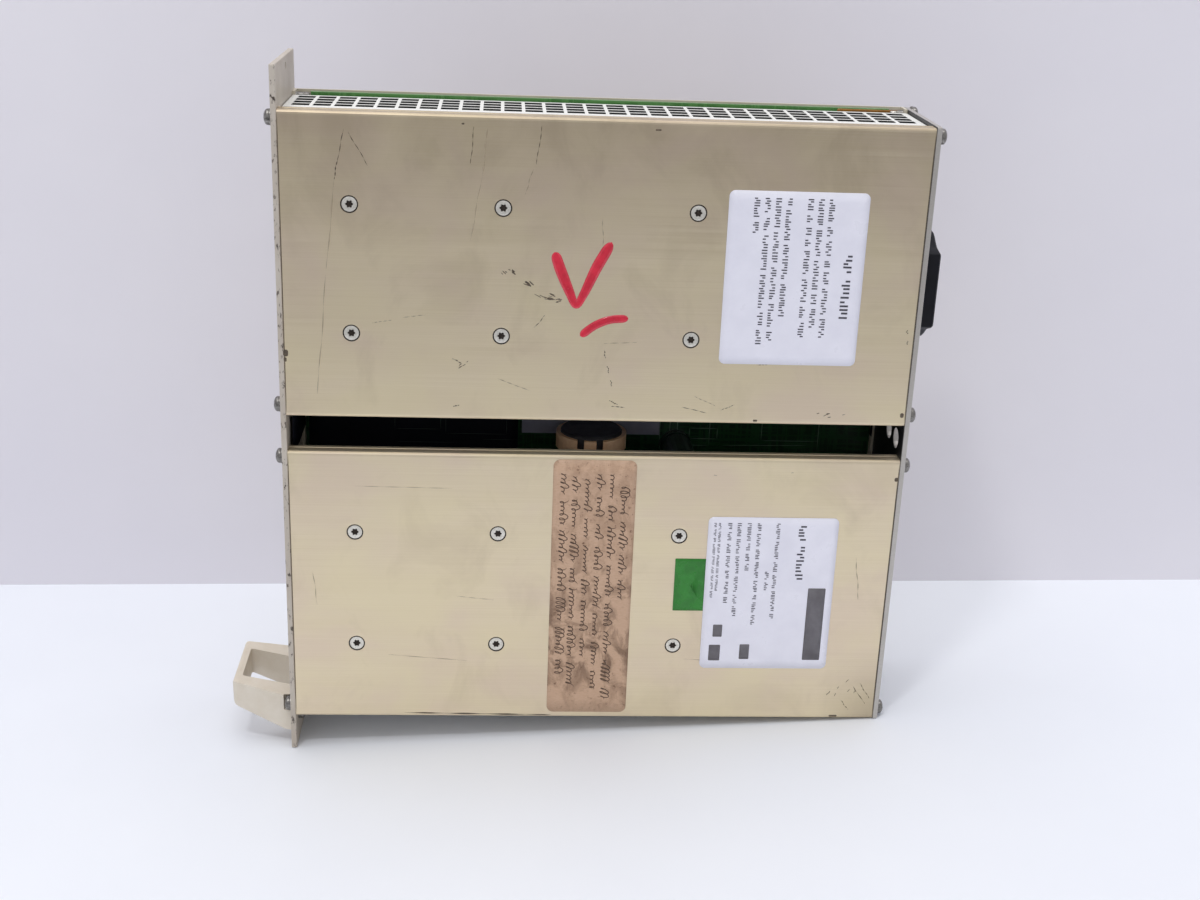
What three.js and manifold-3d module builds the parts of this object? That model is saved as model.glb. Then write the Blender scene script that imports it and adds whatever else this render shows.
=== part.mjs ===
// Plug-in power supply module for a 6U subrack: front panel with pull handle, two extruded side
// profiles that double as heatsinks, vented rear panel with mains inlet, grilles, board and parts.
// Millimetres. X runs from front to rear, -Y is the side with the two profiles, +Z is up.
import * as THREE from "three";
import { mergeVertices } from "three/addons/utils/BufferGeometryUtils.js";
import Module from "manifold-3d";

// ---- driving dimensions ----
const PANEL_HEIGHT = 261.9; // 6U front panel
const PANEL_WIDTH = 50.5; // 10 pitches of 5.08 less 0.3
const PANEL_THICKNESS = 2.0;
const BODY_HEIGHT = 233.35; // double-height board format
const BODY_LENGTH = 229.0; // back of front panel to outside of rear panel
const REAR_THICKNESS = 2.0;
const PROFILE_HEIGHT = 109.7;
const PROFILE_WALL = 2.6;
const EDGE_RADIUS = 1.5; // rounding of a profile's outer edges
const LIP_DEPTH = 7.0; // how far a profile's edge reaches inwards
const LIP_HEIGHT = 6.6;
const UPPER_DROP = 0.5; // the upper profile ends this far below the top of the board and cover
const CHANNEL_Y = 4.3; // screw channel in each profile edge
const CHANNEL_INSET = 3.3;
const CHANNEL_RADIUS = 1.65;
const CHANNEL_SLOT = 1.2;
const COVER_THICKNESS = 1.0;
const COVER_OUTER_Y = 50.2;
const COVER_FLANGE = 7.2;
const BOARD_Y = 45.8; // component side of the board
const BOARD_THICKNESS = 1.6;
const SIDE_SCREW_X = [24.0, 77.2, 145.5];
const SIDE_SCREW_SPREAD = 23.1; // either side of a profile's middle height
const SIDE_HEAD_RADIUS = 2.75;
const SIDE_SINK_RADIUS = 3.15;
const PAN_RADIUS = 2.8;
const PAN_HEIGHT = 2.9; // head and captive washer together
const WASHER_RADIUS = 2.95;
const WASHER_HEIGHT = 0.7;
const GRILLE_THICKNESS = 0.5;
const GRILLE_PITCH = 7.42;
const GRILLE_HOLE = 6.2;
const GRILLE_ROW_PITCH = 6.3;
const GRILLE_ROW_HOLE = 5.1;
const GRILLE_COLUMNS = 30;
const GRILLE_ROWS = 4;
const GRILLE_Z = 231.5; // underside of the top grille
const VENT_RADIUS = 4.0;
const VENT_ROW_PITCH = 22.0;
const HANDLE_REACH = 23.4; // front panel face to the front of the handle
const INLET_Y = 25.1;
const INLET_FRONT = 236.3;
const JOIN = 0.02; // clearance left between faces that rest on each other
const FIT = 0.25; // clearance of a screw in its hole and of a drawer in its well

const BODY_END = BODY_LENGTH - REAR_THICKNESS;
const PANEL_BOTTOM = (BODY_HEIGHT - PANEL_HEIGHT) / 2;
const PANEL_TOP = PANEL_BOTTOM + PANEL_HEIGHT;
const UPPER_BASE = BODY_HEIGHT - PROFILE_HEIGHT - UPPER_DROP;
const BOARD_BACK = BOARD_Y + BOARD_THICKNESS;

// ---- solids ----
const wasm = await Module();
wasm.setup();

function solid(geometry) {
  const bare = new THREE.BufferGeometry();
  const flat = geometry.index ? geometry.toNonIndexed() : geometry;
  bare.setAttribute("position", flat.getAttribute("position"));
  const merged = mergeVertices(bare, 1e-4);
  const mesh = (triVerts) =>
    new wasm.Manifold(new wasm.Mesh({
      numProp: 3,
      vertProperties: new Float32Array(merged.attributes.position.array),
      triVerts,
    }));
  const tris = new Uint32Array(merged.index.array);
  const made = mesh(tris);
  if (made.volume() > 0) return made;
  return mesh(tris.reverse());
}

function join(...parts) {
  return parts.reduce((a, b) => a.add(b));
}

function cut(body, ...tools) {
  return tools.reduce((a, b) => a.subtract(b), body);
}

// Which world axes a drawing's two directions follow when it is extruded along an axis.
const DRAWING = {
  X: { matrix: new THREE.Matrix4().set(0, 0, 1, 0, 1, 0, 0, 0, 0, 1, 0, 0, 0, 0, 0, 1), swap: false },
  Y: { matrix: new THREE.Matrix4().set(0, 1, 0, 0, 0, 0, 1, 0, 1, 0, 0, 0, 0, 0, 0, 1), swap: true },
  Z: { matrix: new THREE.Matrix4(), swap: false },
};

// A closed outline from corner points; a third number on a corner is its rounding radius.
function outline(points, swap = false) {
  const corners = points.map(([a, b, r = 0]) => (swap ? [b, a, r] : [a, b, r]));
  const shape = new THREE.Shape();
  const count = corners.length;
  corners.forEach(([x, y, r], i) => {
    const here = new THREE.Vector2(x, y);
    const [px, py] = corners[(i + count - 1) % count];
    const [nx, ny] = corners[(i + 1) % count];
    const entry = here.clone().add(new THREE.Vector2(px - x, py - y).setLength(r || 1e-9));
    const exit = here.clone().add(new THREE.Vector2(nx - x, ny - y).setLength(r || 1e-9));
    if (r === 0) {
      if (i === 0) shape.moveTo(x, y);
      else shape.lineTo(x, y);
      return;
    }
    if (i === 0) shape.moveTo(entry.x, entry.y);
    else shape.lineTo(entry.x, entry.y);
    shape.quadraticCurveTo(x, y, exit.x, exit.y);
  });
  shape.closePath();
  return shape;
}

function extrude(axis, from, to, points, bevel = 0, curveSegments = 4) {
  const { matrix, swap } = DRAWING[axis];
  const geometry = new THREE.ExtrudeGeometry(outline(points, swap), {
    depth: to - from - 2 * bevel,
    bevelEnabled: bevel > 0,
    bevelThickness: bevel,
    bevelSize: bevel,
    bevelOffset: -bevel,
    bevelSegments: 1,
    curveSegments,
  });
  geometry.translate(0, 0, from + bevel);
  return solid(geometry.applyMatrix4(matrix));
}

function block(x0, x1, y0, y1, z0, z1) {
  const geometry = new THREE.BoxGeometry(x1 - x0, y1 - y0, z1 - z0);
  return solid(geometry.translate((x0 + x1) / 2, (y0 + y1) / 2, (z0 + z1) / 2));
}

// A turned body: profile of [radius, position along the axis] points, starting and ending on it.
function turned(axis, profile, a, b, segments = 20) {
  const geometry = new THREE.LatheGeometry(profile.map(([r, h]) => new THREE.Vector2(r, h)), segments);
  if (axis === "X") geometry.rotateZ(-Math.PI / 2).translate(0, a, b);
  if (axis === "Y") geometry.translate(a, 0, b);
  if (axis === "Z") geometry.rotateX(Math.PI / 2).translate(a, b, 0);
  return solid(geometry);
}

function rod(axis, radius, from, to, a, b, segments = 20) {
  return turned(axis, [[0, from], [radius, from], [radius, to], [0, to]], a, b, segments);
}

// The six-lobed socket of a screw head, along an axis from one depth to another.
function socket(axis, from, to, a, b, size = 1.15) {
  const points = [];
  for (let i = 0; i < 12; i += 1) {
    const angle = (i / 12) * 2 * Math.PI;
    const r = size * (1 + 0.14 * Math.cos(6 * angle));
    points.push([a + r * Math.cos(angle), b + r * Math.sin(angle)]);
  }
  return extrude(axis, from, to, points);
}

// ---- materials and nodes ----
const PAINT = {
  champagne: [0xc4b599, 0.55, 0.38],
  cream: [0xe0d9c8, 0.05, 0.5],
  panel: [0xb8b2a8, 0.5, 0.42],
  sheet: [0xc9c8c2, 0.7, 0.35],
  zinc: [0xb4b6b8, 0.9, 0.3],
  board: [0x3f7d3c, 0.0, 0.45],
  black: [0x1a1a24, 0.0, 0.4],
  ferrite: [0x2b2b2e, 0.1, 0.6],
  bobbin: [0xd1a877, 0.0, 0.5],
  copper: [0xa8683a, 0.8, 0.35],
  brass: [0xc9a24e, 0.9, 0.3],
  sleeve: [0x22304a, 0.0, 0.35],
  aluminium: [0xa9abad, 0.85, 0.4],
  filter: [0xb9bcc2, 0.0, 0.55],
  glass: [0xd8e6e8, 0.0, 0.1],
  blue: [0x2b5fa8, 0.0, 0.4],
  led: [0x5fbf4a, 0.0, 0.25],
};

const root = new THREE.Group();
root.name = "subrack_power_supply";

function node(name, paint, body) {
  const made = body.getMesh();
  const geometry = new THREE.BufferGeometry();
  geometry.setAttribute("position", new THREE.BufferAttribute(new Float32Array(made.vertProperties), 3));
  geometry.setIndex(new THREE.BufferAttribute(new Uint32Array(made.triVerts), 1));
  geometry.computeVertexNormals();
  const [color, metalness, roughness] = PAINT[paint];
  const mesh = new THREE.Mesh(geometry, new THREE.MeshStandardMaterial({ color, metalness, roughness }));
  mesh.name = name;
  root.add(mesh);
}

// ---- where the screws through the two end panels sit ----
const PROFILE_BASES = { lower: 0, upper: UPPER_BASE };
const NEAR_SCREW_Z = {
  lower_bottom: CHANNEL_INSET,
  lower_top: PROFILE_HEIGHT - CHANNEL_INSET,
  upper_bottom: UPPER_BASE + CHANNEL_INSET,
  upper_top: UPPER_BASE + PROFILE_HEIGHT - CHANNEL_INSET,
};
const FAR_SCREW_Z = { bottom: 8.0, top: 231.2 };
const FAR_SCREW_Y = 46.4;
const PANEL_SCREWS = [
  ...Object.entries(NEAR_SCREW_Z).map(([name, z]) => [name, CHANNEL_Y, z]),
  ...Object.entries(FAR_SCREW_Z).map(([name, z]) => [`far_${name}`, FAR_SCREW_Y, z]),
];

// ---- handle: a tilted loop that widens towards the panel ----
const HANDLE_X = -PANEL_THICKNESS - HANDLE_REACH;
const HANDLE_SCREWS = [[9.6, -3.2], [40.9, -3.2]];

function handle() {
  const side = extrude("Y", 2, 49, [
    [HANDLE_X, 10.6, 1.6],
    [-PANEL_THICKNESS - JOIN, 5.8],
    [-PANEL_THICKNESS - JOIN, -8.6],
    [-4.5, -8.6, 1.0],
    [HANDLE_X + 0.3, 0.5, 1.8],
  ]);
  const plan = extrude("Z", -20, 20, [
    [HANDLE_X, 8.25, 2.0],
    [HANDLE_X, 42.25, 2.0],
    [0, 46.75],
    [0, 3.75],
  ]);
  const gap = extrude("Z", -20, 20, [
    [HANDLE_X + 3.1, 14.0, 1.2],
    [HANDLE_X + 3.1, 36.9, 1.2],
    [-PANEL_THICKNESS + 1, 36.3],
    [-PANEL_THICKNESS + 1, 14.2],
  ]);
  const relief = rod("X", PAN_RADIUS + 0.5, -5.2, 0, CHANNEL_Y, CHANNEL_INSET);
  const farRelief = rod("X", PAN_RADIUS + 0.5, -5.2, 0, FAR_SCREW_Y, FAR_SCREW_Z.bottom);
  const threads = HANDLE_SCREWS.map(([y, z]) => rod("X", 1.75, -12.5, 0, y, z));
  return cut(side.intersect(plan), gap, relief, farRelief, ...threads);
}

// ---- front panel ----
const FIXING_Y = 27.8;
const FIXING_INSET = 3.6;
const TRIMMER = { y: 25.25, z: 196.0 };
const LAMP = { y: 25.25, z: 214.0 };

function frontPanel() {
  const plate = extrude("X", -PANEL_THICKNESS, 0, [
    [0, PANEL_BOTTOM, 0.6],
    [PANEL_WIDTH, PANEL_BOTTOM, 0.6],
    [PANEL_WIDTH, PANEL_TOP, 0.6],
    [0, PANEL_TOP, 0.6],
  ], 0.2, 2);
  const hole = (radius, y, z) => rod("X", radius, -5, 5, y, z, 14);
  return cut(
    plate,
    hole(1.4, FIXING_Y, PANEL_TOP - FIXING_INSET),
    hole(1.4, FIXING_Y, PANEL_BOTTOM + FIXING_INSET),
    hole(2.6, TRIMMER.y, TRIMMER.z),
    hole(2.7, LAMP.y, LAMP.z),
    ...HANDLE_SCREWS.map(([y, z]) => hole(1.5 + FIT, y, z)),
    ...PANEL_SCREWS.map(([, y, z]) => hole(1.5 + FIT, y, z)),
  );
}

// ---- side profiles: a flat wall with an inward lip and a screw channel along each edge ----
function sideProfile(base) {
  const top = base + PROFILE_HEIGHT;
  const slot0 = CHANNEL_Y - CHANNEL_SLOT / 2;
  const slot1 = CHANNEL_Y + CHANNEL_SLOT / 2;
  const wall = extrude("X", JOIN, BODY_END - JOIN, [
    [0, base, EDGE_RADIUS],
    [slot0, base, 0.3],
    [slot0, base + CHANNEL_INSET],
    [slot1, base + CHANNEL_INSET],
    [slot1, base, 0.3],
    [LIP_DEPTH, base, 0.4],
    [LIP_DEPTH, base + LIP_HEIGHT, 0.4],
    [PROFILE_WALL, base + LIP_HEIGHT, 0.6],
    [PROFILE_WALL, top - LIP_HEIGHT, 0.6],
    [LIP_DEPTH, top - LIP_HEIGHT, 0.4],
    [LIP_DEPTH, top, 0.4],
    [slot1, top, 0.3],
    [slot1, top - CHANNEL_INSET],
    [slot0, top - CHANNEL_INSET],
    [slot0, top, 0.3],
    [0, top, EDGE_RADIUS],
  ]);
  const channels = [base + CHANNEL_INSET, top - CHANNEL_INSET].map((z) =>
    rod("X", CHANNEL_RADIUS, -1, BODY_LENGTH, CHANNEL_Y, z, 14));
  const sinks = sideScrewSpots(base).map(([x, z]) => turned("Y", [
    [0, -0.5],
    [SIDE_SINK_RADIUS, -0.5],
    [SIDE_SINK_RADIUS, 0.25],
    [1.5 + FIT, 1.8],
    [1.5 + FIT, 6],
    [0, 6],
  ], x, z, 18));
  return cut(wall, ...channels, ...sinks);
}

function sideScrewSpots(base) {
  const middle = base + PROFILE_HEIGHT / 2;
  return [middle - SIDE_SCREW_SPREAD, middle + SIDE_SCREW_SPREAD].flatMap((z) =>
    SIDE_SCREW_X.map((x) => [x, z]));
}

function sideScrew(x, z) {
  const body = turned("Y", [
    [0, 0.12],
    [SIDE_HEAD_RADIUS - 0.15, 0.12],
    [SIDE_HEAD_RADIUS, 0.3],
    [1.5, 1.75],
    [1.5, 9.0],
    [0, 9.0],
  ], x, z, 18);
  return cut(body, socket("Y", 0, 1.3, x, z));
}

function spreader(base) {
  const middle = base + PROFILE_HEIGHT / 2;
  const reach = SIDE_SCREW_SPREAD + 6;
  const plate = block(14, 156, PROFILE_WALL + JOIN, PROFILE_WALL + 4, middle - reach, middle + reach);
  return cut(plate, ...sideScrewSpots(base).map(([x, z]) => rod("Y", 1.5 + FIT, 0, 12, x, z, 12)));
}

// ---- pan-head screws through the front and rear panels ----
function panScrew(y, z, face, out) {
  const along = (h) => face + out * h;
  const body = turned("X", [
    [0, along(PAN_HEIGHT + JOIN)],
    [PAN_RADIUS * 0.55, along(PAN_HEIGHT + JOIN - 0.1)],
    [PAN_RADIUS * 0.88, along(PAN_HEIGHT - 0.6)],
    [PAN_RADIUS, along(PAN_HEIGHT - 1.3)],
    [PAN_RADIUS, along(WASHER_HEIGHT)],
    [WASHER_RADIUS, along(WASHER_HEIGHT)],
    [WASHER_RADIUS, along(JOIN)],
    [1.4, along(JOIN)],
    [1.4, along(-8)],
    [0, along(-8)],
  ], y, z, 16);
  const ends = [along(PAN_HEIGHT + 1), along(0.7)];
  return cut(body, socket("X", Math.min(...ends), Math.max(...ends), y, z, 1.05));
}

// ---- rear panel ----
const VENT_COLUMNS = [10.4, 21.45];
const VENT_FIRST_Z = 71.2;
const VENT_ROWS = 4;
const TERMINAL = { y0: 14, y1: 36, z0: 26, z1: 58, front: 232.4, back: 214 };
const FLANGE = [
  [9.3, 158.8, 1.2], [16.4, 156.4, 2.0], [22.3, 151.6, 2.5], [27.9, 151.6, 2.5], [33.8, 156.4, 2.0],
  [40.9, 158.8, 1.2], [40.9, 186.6, 1.2], [33.8, 187.9, 2.0], [27.9, 192.2, 2.5], [22.3, 192.2, 2.5],
  [16.4, 187.9, 2.0], [9.3, 186.6, 1.2],
];
const INLET_SCREW_Z = [154.6, 189.4];
const INLET_WELL = { y0: 11.3, y1: 38.9, z0: 159.2, z1: 184.6 };

function ventSpots() {
  const rows = Array.from({ length: VENT_ROWS }, (_, i) => VENT_FIRST_Z + i * VENT_ROW_PITCH);
  return rows.flatMap((z) => VENT_COLUMNS.map((y) => [y, z]));
}

function rearPanel() {
  const plate = extrude("X", BODY_END, BODY_LENGTH, [
    [0, 0, 0.6],
    [COVER_OUTER_Y, 0, 0.6],
    [COVER_OUTER_Y, BODY_HEIGHT, 0.6],
    [0, BODY_HEIGHT, 0.6],
  ], 0.2, 2);
  const hole = (radius, y, z, segments = 12) =>
    rod("X", radius, BODY_END - 3, BODY_LENGTH + 3, y, z, segments);
  return cut(
    plate,
    block(BODY_END - 3, BODY_LENGTH + 3, INLET_WELL.y0, INLET_WELL.y1, INLET_WELL.z0, INLET_WELL.z1),
    block(BODY_END - 3, BODY_LENGTH + 3, TERMINAL.y0, TERMINAL.y1, TERMINAL.z0, TERMINAL.z1),
    ...INLET_SCREW_Z.map((z) => hole(1.2 + FIT, INLET_Y, z)),
    ...ventSpots().map(([y, z]) => hole(VENT_RADIUS, y, z, 14)),
    ...PANEL_SCREWS.map(([, y, z]) => hole(1.5 + FIT, y, z)),
  );
}

// ---- mains inlet with fuse drawer ----
const DRAWER = { y0: 12.6, y1: 18.4, z0: 161.0, z1: 182.8, back: 212.0 };
const RECESS = { y0: 21.0, y1: 37.4, z0: 159.9, z1: 183.9, back: 220.0, chamfer: 5.0 };
const PINS = { inlet_pin_line: [27.2, 179.0], inlet_pin_earth: [31.4, 171.9], inlet_pin_neutral: [27.2, 164.8] };

function inletBody() {
  const bezel = extrude("X", BODY_LENGTH + JOIN, INLET_FRONT, FLANGE, 0.6, 2);
  const shell = block(206, BODY_LENGTH + 1, INLET_WELL.y0 + FIT, INLET_WELL.y1 - FIT,
    INLET_WELL.z0 + FIT, INLET_WELL.z1 - FIT);
  const recess = extrude("X", RECESS.back, INLET_FRONT + 2, [
    [RECESS.y0, RECESS.z0, 0.8],
    [RECESS.y1 - RECESS.chamfer, RECESS.z0],
    [RECESS.y1, RECESS.z0 + RECESS.chamfer],
    [RECESS.y1, RECESS.z1 - RECESS.chamfer],
    [RECESS.y1 - RECESS.chamfer, RECESS.z1],
    [RECESS.y0, RECESS.z1, 0.8],
  ]);
  const drawerWell = block(DRAWER.back - FIT, INLET_FRONT + 2, DRAWER.y0 - FIT, DRAWER.y1 + FIT,
    DRAWER.z0 - FIT, DRAWER.z1 + FIT);
  const screwWells = INLET_SCREW_Z.map((z) => turned("X", [
    [0, BODY_LENGTH - 1],
    [1.45, BODY_LENGTH - 1],
    [1.45, INLET_FRONT - 2.2],
    [2.6, INLET_FRONT - 2.2],
    [2.6, INLET_FRONT + 1],
    [0, INLET_FRONT + 1],
  ], INLET_Y, z));
  const pinSeats = Object.values(PINS).map(([y, z]) =>
    block(204, RECESS.back + 1, y - 1.05, y + 1.05, z - 2.05, z + 2.05));
  return cut(join(bezel, shell), recess, drawerWell, ...screwWells, ...pinSeats);
}

function inletPin([y, z]) {
  return extrude("X", 198, 231, [[y - 1, z - 2], [y + 1, z - 2], [y + 1, z + 2], [y - 1, z + 2]], 0.4);
}

function inletScrew(z) {
  const seat = INLET_FRONT - 2.2;
  const body = turned("X", [
    [0, seat + 1.9],
    [1.5, seat + 1.8],
    [2.35, seat + 1.1],
    [2.35, seat + JOIN],
    [1.2, seat + JOIN],
    [1.2, BODY_END - 5],
    [0, BODY_END - 5],
  ], INLET_Y, z, 14);
  return cut(body, socket("X", seat + 0.8, seat + 3, INLET_Y, z, 0.85));
}

const FUSE_X = 219.5;
const FUSE_MIDDLE = [(DRAWER.y0 + DRAWER.y1) / 2, (DRAWER.z0 + DRAWER.z1) / 2];

function fuseDrawer() {
  const tray = block(DRAWER.back, INLET_FRONT + 0.6, DRAWER.y0, DRAWER.y1, DRAWER.z0, DRAWER.z1);
  const cradle = block(FUSE_X - 3.6, FUSE_X + 3.2, DRAWER.y0 - 1, DRAWER.y1 - 0.8,
    DRAWER.z0 + 0.7, DRAWER.z1 - 0.7);
  const spare = block(FUSE_X + 5.0, INLET_FRONT - 2.5, DRAWER.y0 - 1, DRAWER.y1 - 0.8,
    DRAWER.z0 + 1.5, DRAWER.z1 - 1.5);
  const notch = block(INLET_FRONT - 0.9, INLET_FRONT + 2, DRAWER.y0 - 1, DRAWER.y0 + 2.2,
    FUSE_MIDDLE[1] - 4, FUSE_MIDDLE[1] + 4);
  return cut(tray, cradle, spare, notch);
}

function fuse() {
  const [y, z] = FUSE_MIDDLE;
  return turned("Z", [
    [0, -10.0], [2.5, -10.0], [2.5, -5.2], [2.2, -5.0],
    [2.2, 5.0], [2.5, 5.2], [2.5, 10.0], [0, 10.0],
  ].map(([r, h]) => [r, z + h]), FUSE_X, y - 0.45, 16);
}

// ---- output terminals ----
const TERMINAL_SCREW_Z = [34, 50];

function outputTerminal() {
  const { y0, y1, z0, z1, front, back } = TERMINAL;
  const body = block(back, BODY_LENGTH + 1, y0 + FIT, y1 - FIT, z0 + FIT, z1 - FIT);
  const rim = extrude("X", BODY_LENGTH + JOIN, front, [
    [y0 - 2, z0 - 2, 1], [y1 + 2, z0 - 2, 1], [y1 + 2, z1 + 2, 1], [y0 - 2, z1 + 2, 1],
  ], 0.4, 2);
  const wells = TERMINAL_SCREW_Z.map((z) =>
    block(front - 9, front + 2, y0 + 2.5, y1 - 2.5, z - 6.6, z + 6.6));
  return cut(join(body, rim), ...wells);
}

function terminalScrew(z) {
  const seat = TERMINAL.front - 9;
  const y = (TERMINAL.y0 + TERMINAL.y1) / 2;
  const body = turned("X", [
    [0, seat + JOIN], [5.2, seat + JOIN], [5.2, seat + 1.6], [4.2, seat + 1.8],
    [4.2, seat + 4.0], [3.6, seat + 4.6], [0, seat + 4.6],
  ], y, z, 24);
  const slot = block(seat + 3.2, seat + 6, y - 5, y + 5, z - 0.6, z + 0.6);
  const cross = block(seat + 3.2, seat + 6, y - 0.6, y + 0.6, z - 2.6, z + 2.6);
  return cut(body, slot, cross);
}

// ---- far side: folded cover carrying the board on four rivets ----
const BOARD = { x0: 1.3, x1: 225.7, z0: 1.2, z1: 232.9 };
const RIVETS = [[12, 12], [215, 12], [12, 221], [215, 221]];

function farSideCover() {
  const inner = COVER_OUTER_Y - COVER_THICKNESS;
  const edge = COVER_OUTER_Y - COVER_FLANGE;
  const x0 = JOIN;
  const x1 = BODY_END - JOIN;
  const tray = extrude("Z", 0, BODY_HEIGHT, [
    [x0, edge],
    [x0, COVER_OUTER_Y, 0.8],
    [x1, COVER_OUTER_Y, 0.8],
    [x1, edge],
    [x1 - COVER_THICKNESS, edge],
    [x1 - COVER_THICKNESS, inner],
    [x0 + COVER_THICKNESS, inner],
    [x0 + COVER_THICKNESS, edge],
  ]);
  const rivets = RIVETS.map(([x, z]) => turned("Y", [
    [0, BOARD_Y - 1.2],
    [1.1, BOARD_Y - 1.2],
    [1.5, BOARD_Y - 0.7],
    [1.5, BOARD_BACK + JOIN],
    [3.2, BOARD_BACK + JOIN],
    [3.2, inner + 0.3],
    [0, inner + 0.3],
  ], x, z, 12));
  const threads = PANEL_SCREWS.filter(([, y]) => y === FAR_SCREW_Y)
    .flatMap(([, y, z]) => [[-1, 3], [BODY_END - 3, BODY_LENGTH]].map(([a, b]) =>
      rod("X", 1.5, a, b, y, z, 12)));
  return cut(join(tray, ...rivets), ...threads);
}

function mainBoard() {
  const board = block(BOARD.x0, BOARD.x1, BOARD_Y, BOARD_BACK, BOARD.z0, BOARD.z1);
  const notches = PANEL_SCREWS.filter(([, y]) => y === FAR_SCREW_Y).flatMap(([, , z]) => [
    block(BOARD.x0 - 1, 6.4, BOARD_Y - 1, BOARD_BACK + 1, z - 2.6, z + 2.6),
    block(BODY_LENGTH - 8.4, BOARD.x1 + 1, BOARD_Y - 1, BOARD_BACK + 1, z - 2.6, z + 2.6),
  ]);
  return cut(board, ...notches, ...RIVETS.map(([x, z]) =>
    rod("Y", 1.7, BOARD_Y - 1, BOARD_BACK + 1, x, z, 12)));
}

// ---- perforated strips that close the top and the underside ----
const GRILLE = { x0: 0.4, x1: 226.6, y0: 7.1, y1: 42.6, holeX: 2.8, holeY: 17.0, hem: 5 };

function grille(z, hemSide) {
  const sheet = extrude("Z", z, z + GRILLE_THICKNESS, [
    [GRILLE.x0, GRILLE.y0], [GRILLE.x1, GRILLE.y0], [GRILLE.x1, GRILLE.y1], [GRILLE.x0, GRILLE.y1],
  ]);
  const bars = [];
  for (let column = 0; column < GRILLE_COLUMNS; column += 1) {
    for (let row = 0; row < GRILLE_ROWS; row += 1) {
      const x = GRILLE.holeX + column * GRILLE_PITCH;
      const y = GRILLE.holeY + row * GRILLE_ROW_PITCH;
      bars.push(block(x, x + GRILLE_HOLE, y, y + GRILLE_ROW_HOLE, z - 1, z + 2));
    }
  }
  const windows = wasm.Manifold.union(bars);
  const hemLow = Math.min(z, z + hemSide * GRILLE.hem);
  const hemHigh = Math.max(z + GRILLE_THICKNESS, z + hemSide * GRILLE.hem);
  const near = block(GRILLE.x0, GRILLE.x1, GRILLE.y0, GRILLE.y0 + GRILLE_THICKNESS, hemLow, hemHigh);
  const far = block(GRILLE.x0, GRILLE.x1, GRILLE.y1 - GRILLE_THICKNESS, GRILLE.y1, hemLow, hemHigh);
  return join(sheet.subtract(windows), near, far);
}

// ---- parts on the board ----
const TRANSFORMER = { x: 112.6, y: 29, low: 84.1, cup: 103.4, high: 109.4, radius: 13.6 };
const DISC_RADIUS = 11.8;

function bobbin() {
  const { x, y, low, cup, high, radius } = TRANSFORMER;
  const spool = turned("Z", [
    [0, low], [radius, low], [radius, low + 2], [7.2, low + 2],
    [7.2, cup], [radius, cup], [radius, high], [DISC_RADIUS + 0.2, high],
    [DISC_RADIUS + 0.2, cup + 1.6], [0, cup + 1.6],
  ], x, y, 32);
  const foot = block(x - 8, x + 8, y, BOARD_Y - JOIN, low, low + 2);
  const bore = rod("Z", 6, 70, 120, x, y, 24);
  const slots = [-4.6, 2.6].map((dx) => block(x + dx - 1.3, x + dx + 1.3, y - 20, y - 8, high - 3.8, high + 1));
  return cut(join(spool, foot), bore, ...slots);
}

function transformerCore() {
  const { x, y, low, cup, high } = TRANSFORMER;
  return turned("Z", [
    [0, low - 6.1], [DISC_RADIUS, low - 6.1], [DISC_RADIUS, low - 0.1], [5.7, low - 0.1],
    [5.7, cup + 1.7], [DISC_RADIUS, cup + 1.7], [DISC_RADIUS, high + 0.6], [DISC_RADIUS - 0.6, high + 1.2],
    [0, high + 1.2],
  ], x, y, 28);
}

function transformerWinding() {
  const { x, y, low, cup } = TRANSFORMER;
  const z0 = low + 2.1;
  const z1 = cup - 0.1;
  const turns = 4;
  const profile = [[7.3, z0]];
  for (let i = 0; i <= turns * 2; i += 1) {
    const t = i / (turns * 2);
    profile.push([i % 2 ? 12.4 : 12.0, z0 + t * (z1 - z0)]);
  }
  profile.push([7.3, z1], [7.3, z0]);
  return turned("Z", profile, x, y, 24);
}

function canCapacitor(x, z, radius, low) {
  return turned("Y", [
    [0, low + 0.5],
    [radius - 2.4, low + 0.5],
    [radius - 1.8, low],
    [radius - 0.6, low],
    [radius, low + 0.8],
    [radius, BOARD_Y - 5.2],
    [radius - 0.7, BOARD_Y - 4.4],
    [radius, BOARD_Y - 3.6],
    [radius, BOARD_Y - JOIN],
    [0, BOARD_Y - JOIN],
  ], x, z, 24);
}

function choke(x, z) {
  const points = [];
  const wires = 30;
  for (let i = 0; i < wires * 2; i += 1) {
    const angle = (i / (wires * 2)) * 2 * Math.PI;
    const r = i % 2 ? 18.0 : 17.2;
    points.push([x + r * Math.cos(angle), z + r * Math.sin(angle)]);
  }
  const ring = extrude("Y", BOARD_Y - 12 - JOIN, BOARD_Y - JOIN, points, 1.4);
  return cut(ring, rod("Y", 7.2, 10, BOARD_Y + 2, x, z, 24));
}

function trimmerBody() {
  const { y, z } = TRIMMER;
  const body = block(JOIN, 7.6, y - 5, y + 5, z - 5, z + 5);
  const legs = block(4, 6.4, y + 4, BOARD_Y - JOIN, z - 2, z + 2);
  return cut(join(body, legs), rod("X", 1.85, -1, 5.6, y, z, 24));
}

function trimmerRotor() {
  const { y, z } = TRIMMER;
  const body = rod("X", 1.8, -1.6, 5.4, y, z, 24);
  return cut(body, block(-3, -0.8, y - 0.35, y + 0.35, z - 3, z + 3));
}

function lamp() {
  const { y, z } = LAMP;
  const body = turned("X", [
    [0, -5.0], [1.2, -4.6], [2.0, -3.7], [2.4, -2.6], [2.4, 1.2], [0, 1.2],
  ], y, z);
  const stem = block(-0.5, 4.5, y - 1.2, y + 1.2, z - 1.2, z + 1.2);
  const arm = block(3.2, 4.5, y - 1.2, BOARD_Y - JOIN, z - 1.2, z + 1.2);
  return join(body, stem, arm);
}

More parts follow.
